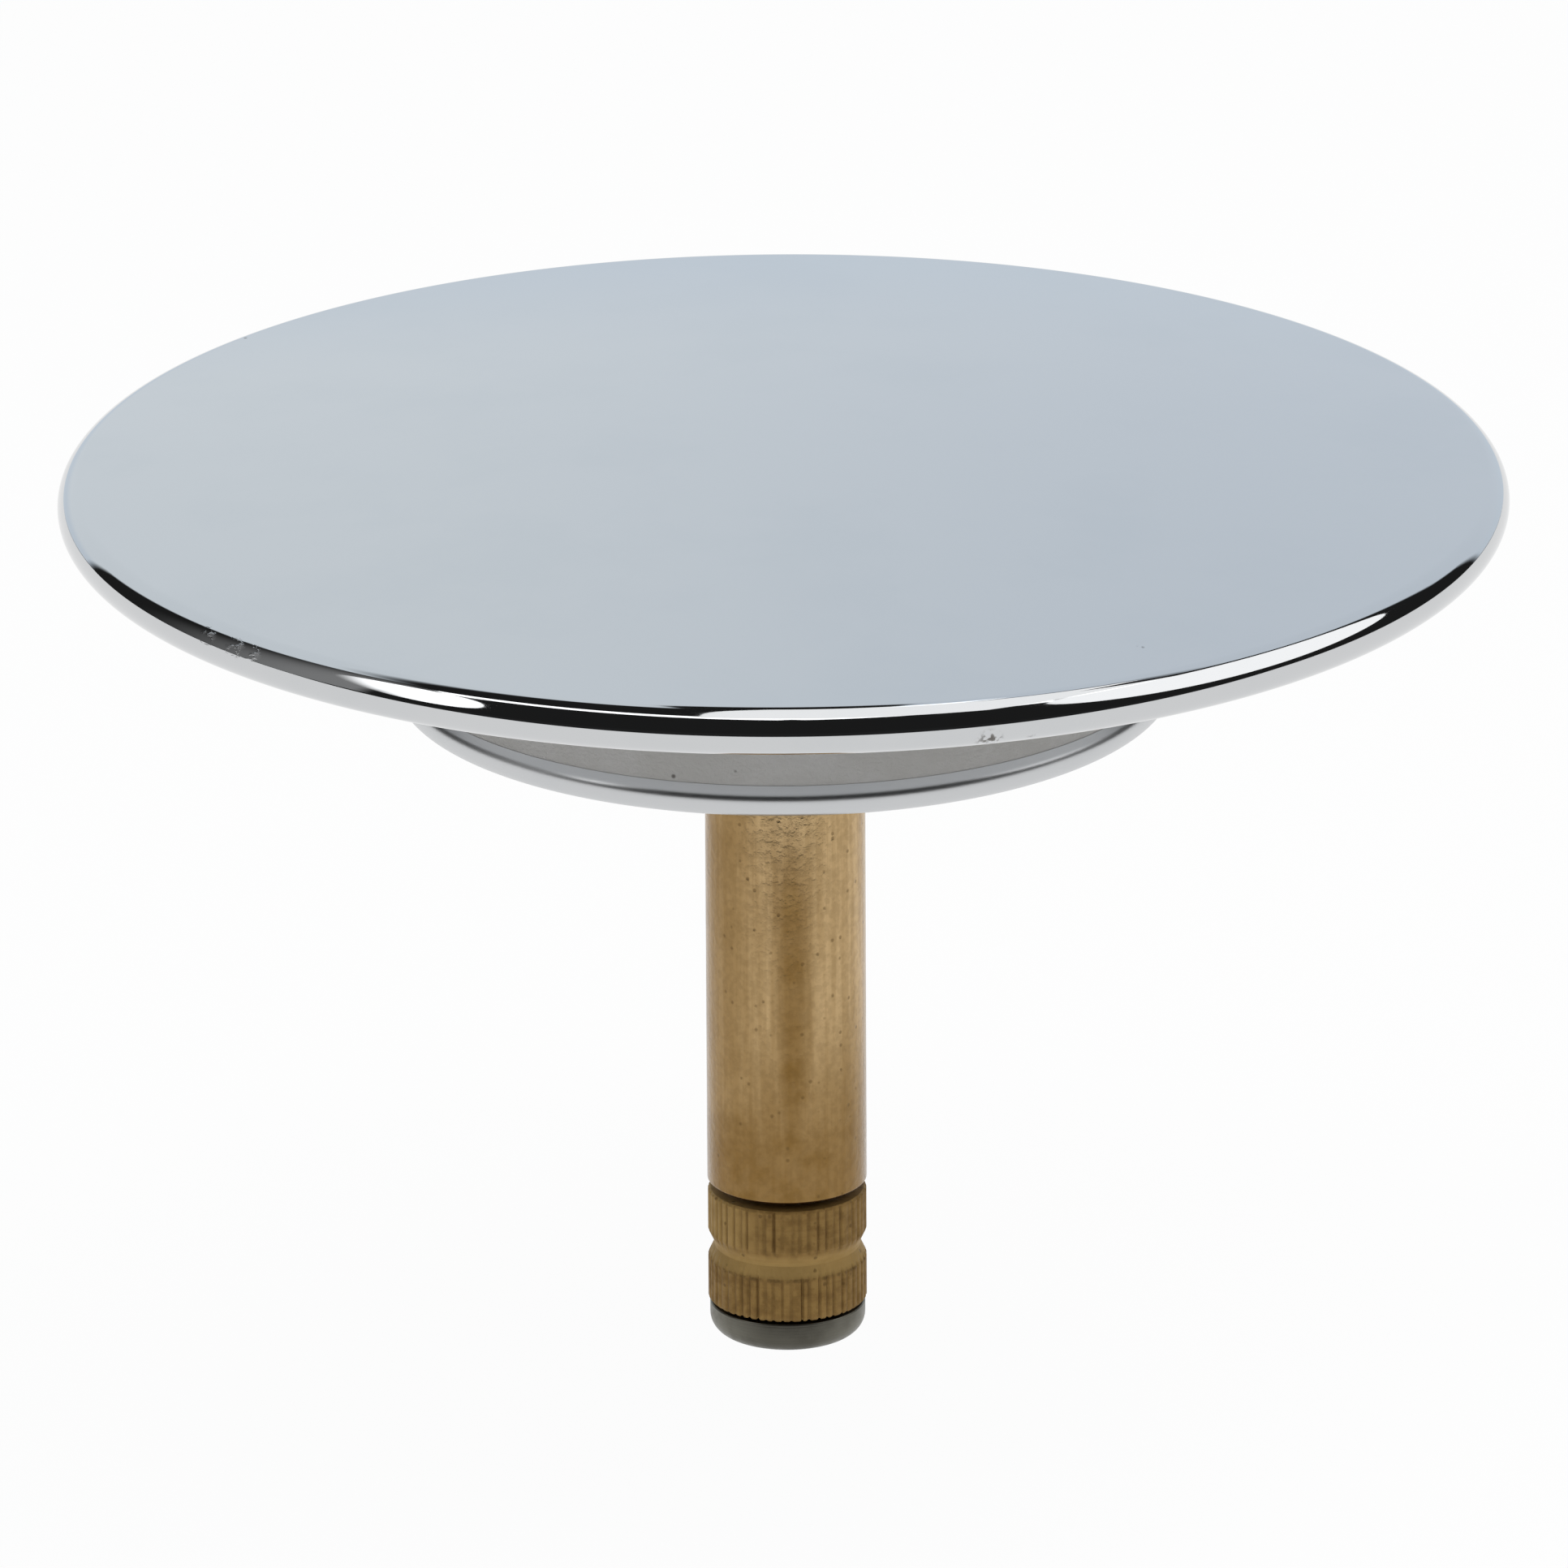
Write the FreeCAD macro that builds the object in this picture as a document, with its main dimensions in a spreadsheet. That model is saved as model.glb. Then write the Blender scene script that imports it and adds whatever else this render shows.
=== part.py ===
# Bath drain stopper: a domed chrome cap, a rubber seal held under it by a round collar, a brass stem,
# and an adjusting screw with a knurled lock nut at the stem's foot.
# The origin is the centre of the collar's lower face, where the stem's shoulder seats; +Z is up.
import FreeCAD
import Part
import Sketcher
import math
import os
import re

SIZES = [
    ("cap_diameter", 72.0),
    ("rim_thickness", 2.4),
    ("dome_rise", 2.0),
    ("rim_height", 8.45),
    ("neck_diameter", 16.0),
    ("neck_fillet", 2.5),
    ("collar_diameter", 39.0),
    ("collar_edge", 0.95),
    ("collar_lip", 0.37),
    ("collar_height", 1.7),
    ("seal_set_in", 0.5),
    ("seal_body", 6.5),
    ("seal_lip", 4.0),
    ("seal_thickness", 3.0),
    ("seal_fillet", 1.0),
    ("seal_rounding", 0.5),
    ("seal_seat_rise", 0.7),
    ("seal_clearance", 0.05),
    ("stem_diameter", 8.0),
    ("stem_length", 25.95),
    ("stem_chamfer", 0.3),
    ("spigot_diameter", 6.0),
    ("spigot_length", 7.5),
    ("spigot_clearance", 0.2),
    ("bore_room", 0.7),
    ("thread_clearance", 0.05),
    ("thread_chamfer", 0.5),
    ("screw_diameter", 4.0),
    ("screw_length", 20.0),
    ("head_relief", 0.1),
    ("head_height", 1.65),
    ("head_round", 1.0),
    ("socket_width", 2.5),
    ("socket_depth", 1.0),
    ("head_gap", 0.15),
    ("lock_gap", 0.4),
    ("nut_relief", 0.02),
    ("nut_length", 5.9),
    ("upper_band", 2.18),
    ("lower_band", 2.24),
    ("groove_depth", 0.3),
    ("groove_root", 0.2),
    ("tooth_count", 54),
    ("tooth_depth", 0.12),
    ("tooth_gap", 0.22),
]

# Formulas that more than one piece takes its size or place from
RIM_RADIUS = "rim_thickness / 2"
NECK_RADIUS = "neck_diameter / 2"
COLLAR_RADIUS = "collar_diameter / 2"
SEAL_WALL = f"({COLLAR_RADIUS} - seal_set_in)"
SEAL_INNER = f"({SEAL_WALL} - seal_body)"
SEAL_OUTER = f"({SEAL_WALL} + seal_lip)"
SEAL_SEAT = "(rim_height + seal_seat_rise)"
STEM_RADIUS = "stem_diameter / 2"
SPIGOT_RADIUS = "spigot_diameter / 2"
NECK_BORE_RADIUS = f"({SPIGOT_RADIUS} + thread_clearance)"
SCREW_RADIUS = "screw_diameter / 2"
TAP_RADIUS = f"({SCREW_RADIUS} + thread_clearance)"
NUT_RADIUS = f"({STEM_RADIUS} - nut_relief)"
NUT_FOOT = "(stem_length + lock_gap + nut_length)"
SCREW_IN_STEM = "(screw_length - lock_gap - nut_length - head_gap)"
DRILL_POINT = "0.6"
CUTS = ("PartDesign::Groove", "PartDesign::Pocket")

doc = FreeCAD.newDocument("drain_stopper")
sheet = doc.addObject("Spreadsheet::Sheet", "sizes")
for row, (alias, number) in enumerate(SIZES, start=1):
    sheet.set(f"A{row}", alias)
    sheet.set(f"B{row}", str(number))
    sheet.setAlias(f"B{row}", alias)
doc.recompute()


def linked(formula):
    """The formula with every size's name pointing at its cell of the sheet."""
    return re.sub(r"[a-z]+_[a-z_]+", lambda word: "sizes." + word.group(), formula)


def amount(formula):
    """The formula's number at the sheet's present sizes."""
    return float(sheet.evalExpression(formula))


def new_body(name, height="0"):
    """An empty body whose own base lies at a height above the origin."""
    body = doc.addObject("PartDesign::Body", name)
    body.Label = name
    body.setExpression("Placement.Base.z", linked(height))
    return body


def new_sketch(body, name, role):
    """A sketch on one of the body's own origin planes."""
    sketch = body.newObject("Sketcher::SketchObject", name)
    plane = next(item for item in body.Origin.OriginFeatures if item.Role == role)
    sketch.AttachmentSupport = (plane, [""])
    sketch.MapMode = "FlatFace"
    return sketch


def dimension(sketch, formula, kind, *points):
    """A sketch dimension that follows a formula."""
    index = sketch.addConstraint(Sketcher.Constraint(kind, *points, amount(formula)))
    sketch.setExpression(f"Constraints[{index}]", linked(formula))


def place(sketch, geometry, end, radius, height):
    """Ties one end of a line or arc to its distance from the axis and its height."""
    if radius == "0":
        sketch.addConstraint(Sketcher.Constraint("PointOnObject", geometry, end, -2))
    else:
        dimension(sketch, radius, "DistanceX", -1, 1, geometry, end)
    if height == "0":
        sketch.addConstraint(Sketcher.Constraint("PointOnObject", geometry, end, -1))
    else:
        dimension(sketch, height, "DistanceY", -1, 1, geometry, end)


def arc_about(centre, start, finish):
    """A sketch arc from start to finish the short way round, and which of its ends is the start."""
    first = math.atan2(start.y - centre.y, start.x - centre.x)
    last = math.atan2(finish.y - centre.y, finish.x - centre.x)
    turn = (last - first) % math.tau
    circle = Part.Circle(centre, FreeCAD.Vector(0, 0, 1), (start - centre).Length)
    if turn <= math.pi + 1e-6:
        return Part.ArcOfCircle(circle, first, first + turn), 1
    return Part.ArcOfCircle(circle, last, last + math.tau - turn), 2


def centre_of_smooth(start, finish, heading):
    """The centre of the arc that leaves start along a heading and ends at finish."""
    across = FreeCAD.Vector(-heading.y, heading.x, 0)
    chord = finish - start
    return start + across * (chord.Length ** 2 / (2 * across.dot(chord)))


def half_section(body, name, corners, smooth=()):
    """A closed sketch on the XZ plane through corners given as (radius, height) formulas.

    A side numbered in smooth is an arc that leaves its first corner along the side before it.
    """
    sketch = new_sketch(body, name, "XZ_Plane")
    points = [FreeCAD.Vector(amount(r), amount(z), 0) for r, z in corners]
    heading = None
    starts = []
    for side, start in enumerate(points):
        finish = points[(side + 1) % len(points)]
        if side not in smooth:
            sketch.addGeometry(Part.LineSegment(start, finish))
            starts.append(1)
            heading = (finish - start).normalize()
            continue
        centre = centre_of_smooth(start, finish, heading)
        arc, start_end = arc_about(centre, start, finish)
        sketch.addGeometry(arc)
        starts.append(start_end)
        arm = (finish - centre).normalize()
        turn = 1 if start_end == 1 else -1
        heading = FreeCAD.Vector(-arm.y * turn, arm.x * turn, 0)
    for side, (radius, height) in enumerate(corners):
        before = (side - 1) % len(corners)
        joint = (before, 3 - starts[before], side, starts[side])
        kind = "Tangent" if side in smooth else "Coincident"
        sketch.addConstraint(Sketcher.Constraint(kind, *joint))
        place(sketch, side, starts[side], radius, height)
    return sketch


def turned(body, kind, name, sketch):
    """A full turn of a half section about the body's axis, added or cut."""
    feature = body.newObject(f"PartDesign::{kind}", name)
    feature.Profile = sketch
    feature.ReferenceAxis = (sketch, ["V_Axis"])
    feature.Angle = 360
    body.Tip = feature
    return feature


def drilled(body, name, radius, depth):
    """A blind drilled hole up the axis from the body's base, with a chamfered mouth."""
    corners = [
        ("0", "0"),
        (f"{radius} + thread_chamfer", "0"),
        (radius, "thread_chamfer"),
        (radius, depth),
        ("0", f"{depth} + {DRILL_POINT} * {radius}"),
    ]
    return turned(body, "Groove", name, half_section(body, name + "_section", corners))


def make_cap():
    """Cover disc of even wall with a full round rim, on a neck that is tapped for the stem."""
    cap = new_body("cap", "collar_height")
    rim = amount(RIM_RADIUS)
    rim_centre = FreeCAD.Vector(amount(f"cap_diameter / 2 - {RIM_RADIUS}"), amount("rim_height"), 0)
    rise = amount("dome_rise")
    fall = (rim_centre.x ** 2 - rise ** 2) / (2 * rise)
    dome_centre = FreeCAD.Vector(0, rim_centre.y - fall, 0)
    outward = (rim_centre - dome_centre).normalize()
    crown = FreeCAD.Vector(0, rim_centre.y + rim + rise, 0)
    over_rim = rim_centre + outward * rim
    under_rim = rim_centre - outward * rim
    neck = amount(NECK_RADIUS)
    fillet = amount("neck_fillet")
    under_radius = (under_rim - dome_centre).Length
    fillet_height = dome_centre.y + math.sqrt((under_radius - fillet) ** 2 - (neck + fillet) ** 2)
    fillet_centre = FreeCAD.Vector(neck + fillet, fillet_height, 0)
    up = (fillet_centre - dome_centre).normalize()
    neck_top = FreeCAD.Vector(neck, fillet_height, 0)
    neck_foot = FreeCAD.Vector(neck, 0, 0)
    under_neck = fillet_centre + up * fillet
    origin = FreeCAD.Vector(0, 0, 0)

    sketch = new_sketch(cap, "cap_section", "XZ_Plane")
    axis = sketch.addGeometry(Part.LineSegment(crown, origin))
    foot = sketch.addGeometry(Part.LineSegment(origin, neck_foot))
    side = sketch.addGeometry(Part.LineSegment(neck_foot, neck_top))
    arcs = [
        arc_about(fillet_centre, neck_top, under_neck),
        arc_about(dome_centre, under_neck, under_rim),
        arc_about(rim_centre, under_rim, over_rim),
        arc_about(dome_centre, over_rim, crown),
    ]
    blend, under, edge, dome = [sketch.addGeometry(arc) for arc, _ in arcs]
    ends = {arc: start for arc, (_, start) in zip((blend, under, edge, dome), arcs)}

    def join(kind, first, first_end, second, second_end):
        sketch.addConstraint(Sketcher.Constraint(kind, first, first_end, second, second_end))

    join("Coincident", axis, 2, -1, 1)
    sketch.addConstraint(Sketcher.Constraint("PointOnObject", axis, 1, -2))
    join("Coincident", axis, 2, foot, 1)
    sketch.addConstraint(Sketcher.Constraint("Horizontal", foot))
    join("Coincident", foot, 2, side, 1)
    sketch.addConstraint(Sketcher.Constraint("Vertical", side))
    join("Tangent", side, 2, blend, ends[blend])
    join("Tangent", blend, 3 - ends[blend], under, ends[under])
    join("Tangent", under, 3 - ends[under], edge, ends[edge])
    join("Tangent", edge, 3 - ends[edge], dome, ends[dome])
    join("Coincident", dome, 3 - ends[dome], axis, 1)
    join("Coincident", dome, 3, under, 3)
    sketch.addConstraint(Sketcher.Constraint("PointOnObject", dome, 3, -2))
    dimension(sketch, NECK_RADIUS, "DistanceX", -1, 1, foot, 2)
    dimension(sketch, "neck_fillet", "Radius", blend)
    dimension(sketch, RIM_RADIUS, "Radius", edge)
    dimension(sketch, f"cap_diameter / 2 - {RIM_RADIUS}", "DistanceX", -1, 1, edge, 3)
    dimension(sketch, "rim_height", "DistanceY", -1, 1, edge, 3)
    dimension(sketch, f"rim_height + {RIM_RADIUS} + dome_rise", "DistanceY", -1, 1, axis, 1)
    turned(cap, "Revolution", "cap_form", sketch)

    below_rim = f"rim_height - {RIM_RADIUS}"
    seat = [
        (f"{SEAL_INNER} - seal_clearance", below_rim),
        (f"{SEAL_OUTER} + seal_clearance", below_rim),
        (f"{SEAL_OUTER} + seal_clearance", SEAL_SEAT),
        (f"{SEAL_INNER} - seal_clearance", SEAL_SEAT),
    ]
    turned(cap, "Groove", "seal_seat", half_section(cap, "seal_seat_section", seat))
    drilled(cap, "neck_bore", NECK_BORE_RADIUS, "(spigot_length + bore_room)")
    return cap


def make_seal_ring():
    """Rubber ring clamped between cap and collar; its upper end spreads into the sealing lip."""
    seal = new_body("seal_ring", "collar_height")
    lip_foot = f"({SEAL_SEAT} - seal_thickness)"
    corners = [
        (SEAL_INNER, "0"),
        (SEAL_WALL, "0"),
        (SEAL_WALL, f"{lip_foot} - seal_fillet"),
        (f"{SEAL_WALL} + seal_fillet", lip_foot),
        (f"{SEAL_OUTER} - seal_rounding", lip_foot),
        (SEAL_OUTER, f"{lip_foot} + seal_rounding"),
        (SEAL_OUTER, SEAL_SEAT),
        (SEAL_INNER, SEAL_SEAT),
    ]
    section = half_section(seal, "seal_section", corners, (2, 4))
    turned(seal, "Revolution", "seal_form", section)
    return seal


def make_collar():
    """Flat round plate with a rounded edge, clamped under the neck, which carries the seal."""
    collar = new_body("collar")
    hole = f"{SPIGOT_RADIUS} + spigot_clearance"
    corners = [
        (hole, "0"),
        (f"{COLLAR_RADIUS} - collar_edge", "0"),
        (COLLAR_RADIUS, "collar_edge"),
        (f"{COLLAR_RADIUS} - collar_lip", "collar_height"),
        (hole, "collar_height"),
    ]
    section = half_section(collar, "collar_section", corners, (1, 2))
    turned(collar, "Revolution", "collar_form", section)
    return collar


def make_stem():
    """Round rod with a threaded spigot at the top and a tapped hole at the foot."""
    stem = new_body("stem", "-stem_length")
    spigot_end = "stem_length + collar_height + spigot_length"
    corners = [
        ("0", "0"),
        (f"{STEM_RADIUS} - stem_chamfer", "0"),
        (STEM_RADIUS, "stem_chamfer"),
        (STEM_RADIUS, "stem_length"),
        (SPIGOT_RADIUS, "stem_length"),
        (SPIGOT_RADIUS, f"{spigot_end} - thread_chamfer"),
        (f"{SPIGOT_RADIUS} - thread_chamfer", spigot_end),
        ("0", spigot_end),
    ]
    turned(stem, "Revolution", "stem_form", half_section(stem, "stem_section", corners))
    drilled(stem, "tapped_hole", TAP_RADIUS, f"({SCREW_IN_STEM} + bore_room)")
    return stem


def make_lock_nut():
    """Two knurled bands with a V groove between them, on a tapped bore."""
    nut = new_body("lock_nut", f"-{NUT_FOOT}")
    valley = f"({NUT_RADIUS} - groove_depth)"
    middle = "(nut_length + lower_band - upper_band) / 2"
    mouth = f"{TAP_RADIUS} + tooth_depth"
    corners = [
        (TAP_RADIUS, "tooth_depth"),
        (mouth, "0"),
        (f"{NUT_RADIUS} - tooth_depth", "0"),
        (NUT_RADIUS, "tooth_depth"),
        (NUT_RADIUS, "lower_band"),
        (valley, f"{middle} - groove_root / 2"),
        (valley, f"{middle} + groove_root / 2"),
        (NUT_RADIUS, "nut_length - upper_band"),
        (NUT_RADIUS, "nut_length - tooth_depth"),
        (f"{NUT_RADIUS} - tooth_depth", "nut_length"),
        (mouth, "nut_length"),
        (TAP_RADIUS, "nut_length - tooth_depth"),
    ]
    turned(nut, "Revolution", "nut_form", half_section(nut, "nut_section", corners))

    sketch = new_sketch(nut, "tooth_gap_section", "XY_Plane")
    outside = amount(f"{NUT_RADIUS} + tooth_depth")
    tip = FreeCAD.Vector(amount(f"{NUT_RADIUS} - tooth_depth"), 0, 0)
    left = FreeCAD.Vector(outside, amount("tooth_gap"), 0)
    right = FreeCAD.Vector(outside, -amount("tooth_gap"), 0)
    sketch.addGeometry(Part.LineSegment(tip, right))
    sketch.addGeometry(Part.LineSegment(right, left))
    sketch.addGeometry(Part.LineSegment(left, tip))
    for side in range(3):
        sketch.addConstraint(Sketcher.Constraint("Coincident", side, 2, (side + 1) % 3, 1))
    sketch.addConstraint(Sketcher.Constraint("PointOnObject", 0, 1, -1))
    sketch.addConstraint(Sketcher.Constraint("Symmetric", 1, 1, 1, 2, -1))
    dimension(sketch, f"{NUT_RADIUS} - tooth_depth", "DistanceX", -1, 1, 0, 1)
    dimension(sketch, f"{NUT_RADIUS} + tooth_depth", "DistanceX", -1, 1, 1, 1)
    dimension(sketch, "2 * tooth_gap", "DistanceY", 1, 1, 1, 2)
    notch = nut.newObject("PartDesign::Pocket", "tooth_gap_cut")
    notch.Profile = sketch
    notch.Reversed = True
    notch.setExpression("Length", linked("nut_length"))
    knurl = nut.newObject("PartDesign::PolarPattern", "knurl")
    knurl.Originals = [notch]
    knurl.Axis = (sketch, ["N_Axis"])
    knurl.Angle = 360
    knurl.setExpression("Occurrences", linked("tooth_count"))
    nut.Tip = knurl
    return nut


def make_adjusting_screw():
    """Low-head screw with a hexagon socket; its shank runs up through the nut into the stem."""
    screw = new_body("adjusting_screw", f"-({NUT_FOOT} + head_gap + head_height)")
    head_radius = f"{STEM_RADIUS} - head_relief"
    screw_end = "head_height + screw_length"
    corners = [
        ("0", screw_end),
        (f"{SCREW_RADIUS} - thread_chamfer", screw_end),
        (SCREW_RADIUS, f"{screw_end} - thread_chamfer"),
        (SCREW_RADIUS, "head_height"),
        (head_radius, "head_height"),
        (head_radius, "head_round"),
        (f"{head_radius} - head_round", "0"),
        ("0", "0"),
    ]
    section = half_section(screw, "screw_section", corners, (5,))
    turned(screw, "Revolution", "screw_form", section)

    sketch = new_sketch(screw, "socket_section", "XY_Plane")
    corner_radius = amount("socket_width / sqrt(3)")
    ring = [
        FreeCAD.Vector(math.cos(turn * math.pi / 3), math.sin(turn * math.pi / 3), 0) * corner_radius
        for turn in range(6)
    ]
    for side in range(6):
        sketch.addGeometry(Part.LineSegment(ring[side], ring[(side + 1) % 6]))
    round_it = Part.Circle(FreeCAD.Vector(0, 0, 0), FreeCAD.Vector(0, 0, 1), corner_radius)
    circle = sketch.addGeometry(round_it, True)
    sketch.addConstraint(Sketcher.Constraint("Coincident", circle, 3, -1, 1))
    for side in range(6):
        sketch.addConstraint(Sketcher.Constraint("Coincident", side, 2, (side + 1) % 6, 1))
        sketch.addConstraint(Sketcher.Constraint("PointOnObject", side, 1, circle))
    for side in range(1, 6):
        sketch.addConstraint(Sketcher.Constraint("Equal", 0, side))
    sketch.addConstraint(Sketcher.Constraint("PointOnObject", 0, 1, -1))
    dimension(sketch, "2 * socket_width / sqrt(3)", "Diameter", circle)
    socket = screw.newObject("PartDesign::Pocket", "socket")
    socket.Profile = sketch
    socket.Reversed = True
    socket.setExpression("Length", linked("socket_depth"))
    screw.Tip = socket
    return screw


pieces = [
    make_cap(),
    make_seal_ring(),
    make_collar(),
    make_stem(),
    make_lock_nut(),
    make_adjusting_screw(),
]
doc.recompute()

for item in doc.Objects:
    if "Invalid" in item.State or "Error" in item.State:
        raise RuntimeError(f"{item.Label} did not build: {item.State}")
    if item.TypeId in CUTS and item.Shape.Volume >= item.BaseFeature.Shape.Volume:
        raise RuntimeError(f"{item.Label} cuts nothing")
for piece in pieces:
    if piece.Shape.isNull() or not piece.Shape.isValid():
        raise RuntimeError(f"{piece.Label} has no valid shape")

os.makedirs("parts", exist_ok=True)
for piece in pieces:
    piece.Shape.exportStep(f"parts/{piece.Label}.step")
    box = piece.Shape.BoundBox
    print(f"{piece.Label}: {piece.Shape.Volume:.1f} mm3, z {box.ZMin:.2f} to {box.ZMax:.2f}")
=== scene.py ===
# %% [markdown]
# # A bath drain stopper
# The stopper has six pieces: a domed chrome cap, a rubber seal under it, a round chrome collar, a brass
# stem, and at its foot a knurled lock nut on an adjusting screw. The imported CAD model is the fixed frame.
# Its solids have the right sizes, but only plain colours and coarse facets, which show in a mirror finish.
# So each solid gets a finer mesh in the same place, and a finish with the wear that the photograph shows.

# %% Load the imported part
import math

import bmesh
import bpy
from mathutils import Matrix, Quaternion, Vector


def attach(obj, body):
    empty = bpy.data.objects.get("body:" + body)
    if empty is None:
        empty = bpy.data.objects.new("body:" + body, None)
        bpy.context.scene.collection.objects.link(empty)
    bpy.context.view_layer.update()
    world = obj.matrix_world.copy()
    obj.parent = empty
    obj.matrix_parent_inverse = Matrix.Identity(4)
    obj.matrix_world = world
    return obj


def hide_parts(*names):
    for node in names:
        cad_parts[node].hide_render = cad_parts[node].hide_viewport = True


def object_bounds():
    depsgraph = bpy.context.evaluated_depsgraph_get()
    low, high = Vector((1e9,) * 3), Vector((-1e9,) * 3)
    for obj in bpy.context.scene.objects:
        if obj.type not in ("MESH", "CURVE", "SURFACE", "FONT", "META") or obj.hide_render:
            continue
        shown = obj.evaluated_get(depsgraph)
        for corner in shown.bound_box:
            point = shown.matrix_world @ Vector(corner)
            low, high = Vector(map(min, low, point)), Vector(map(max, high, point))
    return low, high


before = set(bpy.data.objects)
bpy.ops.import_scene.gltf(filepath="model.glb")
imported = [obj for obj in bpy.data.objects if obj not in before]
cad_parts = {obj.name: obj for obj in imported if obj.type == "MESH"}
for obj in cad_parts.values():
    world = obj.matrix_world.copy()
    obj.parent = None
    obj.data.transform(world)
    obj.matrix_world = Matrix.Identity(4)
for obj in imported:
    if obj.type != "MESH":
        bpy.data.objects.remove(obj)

cad_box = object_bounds()
MM = 0.001
scene = bpy.context.scene
print("nodes to dress:", ", ".join(sorted(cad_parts)))

# %% [markdown]
# ## The camera
# A long lens stood about a metre away, a little above the cap. The ellipse of the rim gives the height of
# the view, and the rim's width in pixels gives the lens. A camera could be set by eye, but a polished cap
# shows every degree, so it is worked out from those measurements. It leans by a third of a degree.

# %% Camera at the photograph's angle
PHOTO_SIDE = 1932
PIXELS_PER_MM = 24.84
CAMERA_DISTANCE = 1.0
CAMERA_ELEVATION = math.radians(18.77)
CAMERA_LEAN = math.radians(-0.304)
AIM = Vector((-0.05, 0.0, -5.0)) * MM
RIM_PLANE = 10.15 * MM

lens = bpy.data.cameras.new("long_lens")
lens.lens = lens.sensor_width * PIXELS_PER_MM * CAMERA_DISTANCE / MM / PHOTO_SIDE
lens.clip_end = 20.0
camera = bpy.data.objects.new("camera", lens)
scene.collection.objects.link(camera)
back = Vector((0.0, -math.cos(CAMERA_ELEVATION), math.sin(CAMERA_ELEVATION)))
camera.location = Vector((0.0, 0.0, RIM_PLANE)) + back * CAMERA_DISTANCE
camera.rotation_mode = "QUATERNION"
look = (AIM - camera.location).to_track_quat("-Z", "Y")
camera.rotation_quaternion = look @ Quaternion((0.0, 0.0, 1.0), CAMERA_LEAN)
scene.camera = camera
scene.view_settings.view_transform = "Standard"
print(f"camera: {lens.lens:.0f} mm lens, {CAMERA_DISTANCE:.2f} m away")

# %% [markdown]
# ## Writing node trees in short
# Node trees are made here in code, and most of a tree is the same few steps: add a node, set its options,
# feed its inputs. A few small helpers keep the trees below as short as their idea.

# %% Helpers for node trees
def feed(tree, slot, value):
    """Links an input to another node's output, or sets it to a plain value."""
    if isinstance(value, bpy.types.NodeSocket):
        tree.links.new(value, slot)
    else:
        slot.default_value = value


def add(tree, kind, options=None, **inputs):
    """A new node with its options set and its inputs fed, where an input's name has _ for a space."""
    node = tree.nodes.new(kind)
    for option, value in (options or {}).items():
        setattr(node, option, value)
    for title, value in inputs.items():
        feed(tree, node.inputs[title.replace("_", " ")], value)
    return node


def maths(tree, operation, *values):
    """The output of a maths node on one to three values."""
    node = tree.nodes.new("ShaderNodeMath")
    node.operation = operation
    for slot, value in zip(node.inputs, values):
        feed(tree, slot, value)
    return node.outputs[0]


def step(tree, value, start, end, low=0.0, high=1.0):
    """A smooth ramp: low up to start, high from end on."""
    node = tree.nodes.new("ShaderNodeMapRange")
    node.interpolation_type = "SMOOTHSTEP"
    for slot, number in zip(node.inputs, (value, start, end, low, high)):
        feed(tree, slot, number)
    return node.outputs[0]


def tint(tree, share, first, second):
    """Two colours mixed by a share."""
    node = add(tree, "ShaderNodeMix", {"data_type": "RGBA"})
    for place, value in ((0, share), (6, first), (7, second)):
        feed(tree, node.inputs[place], value)
    return node.outputs[2]


def stain(tree, mask, strength, under, colour):
    """A colour laid over another one where a mask says so, at part of its strength."""
    return tint(tree, maths(tree, "MULTIPLY", mask, strength), under, colour)


def split(tree, vector):
    """The X, Y and Z of a vector."""
    return add(tree, "ShaderNodeSeparateXYZ", Vector=vector).outputs


def new_group(name, kind, inputs, outputs):
    """An empty node group with named sockets, each given as a title, a type and perhaps a value."""
    tree = bpy.data.node_groups.new(name, kind)
    for side, sockets in (("INPUT", inputs), ("OUTPUT", outputs)):
        for title, socket_type, *value in sockets:
            socket = tree.interface.new_socket(title, in_out=side, socket_type="NodeSocket" + socket_type)
            if value:
                socket.default_value = value[0]
    return tree, tree.nodes.new("NodeGroupInput").outputs, tree.nodes.new("NodeGroupOutput").inputs


print("node helpers ready")

# %% [markdown]
# ## The studio
# Polished chrome has no colour of its own: what looks like its colour is the room. The bands on the rim
# tell what stood there. Two pale sheets behind the stopper, with a dark slit between them, make the top
# blue-grey. A bank of three panels overhead, with bright strips along its front, makes the white line on
# the rim, a lamp on each side the white further out, and the dark side of the room the black line between.
# The paper underneath makes the lower edge light, up to where the sheet ends.
# A picture of a room could be wrapped round the scene instead, but a few plain rules of direction do it.
# Walls, lamps and paper stand on a turntable with the camera, as if the stopper were turned in front of
# them, so it is lit alike from every side.

# %% Turntable for walls, lamps and paper
turntable = bpy.data.objects.new("turntable", None)
scene.collection.objects.link(turntable)
turn = turntable.constraints.new("COPY_ROTATION")
turn.target = camera
turn.use_x = False
turn.use_y = False
print("walls, lamps and paper turn with the camera")

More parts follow.
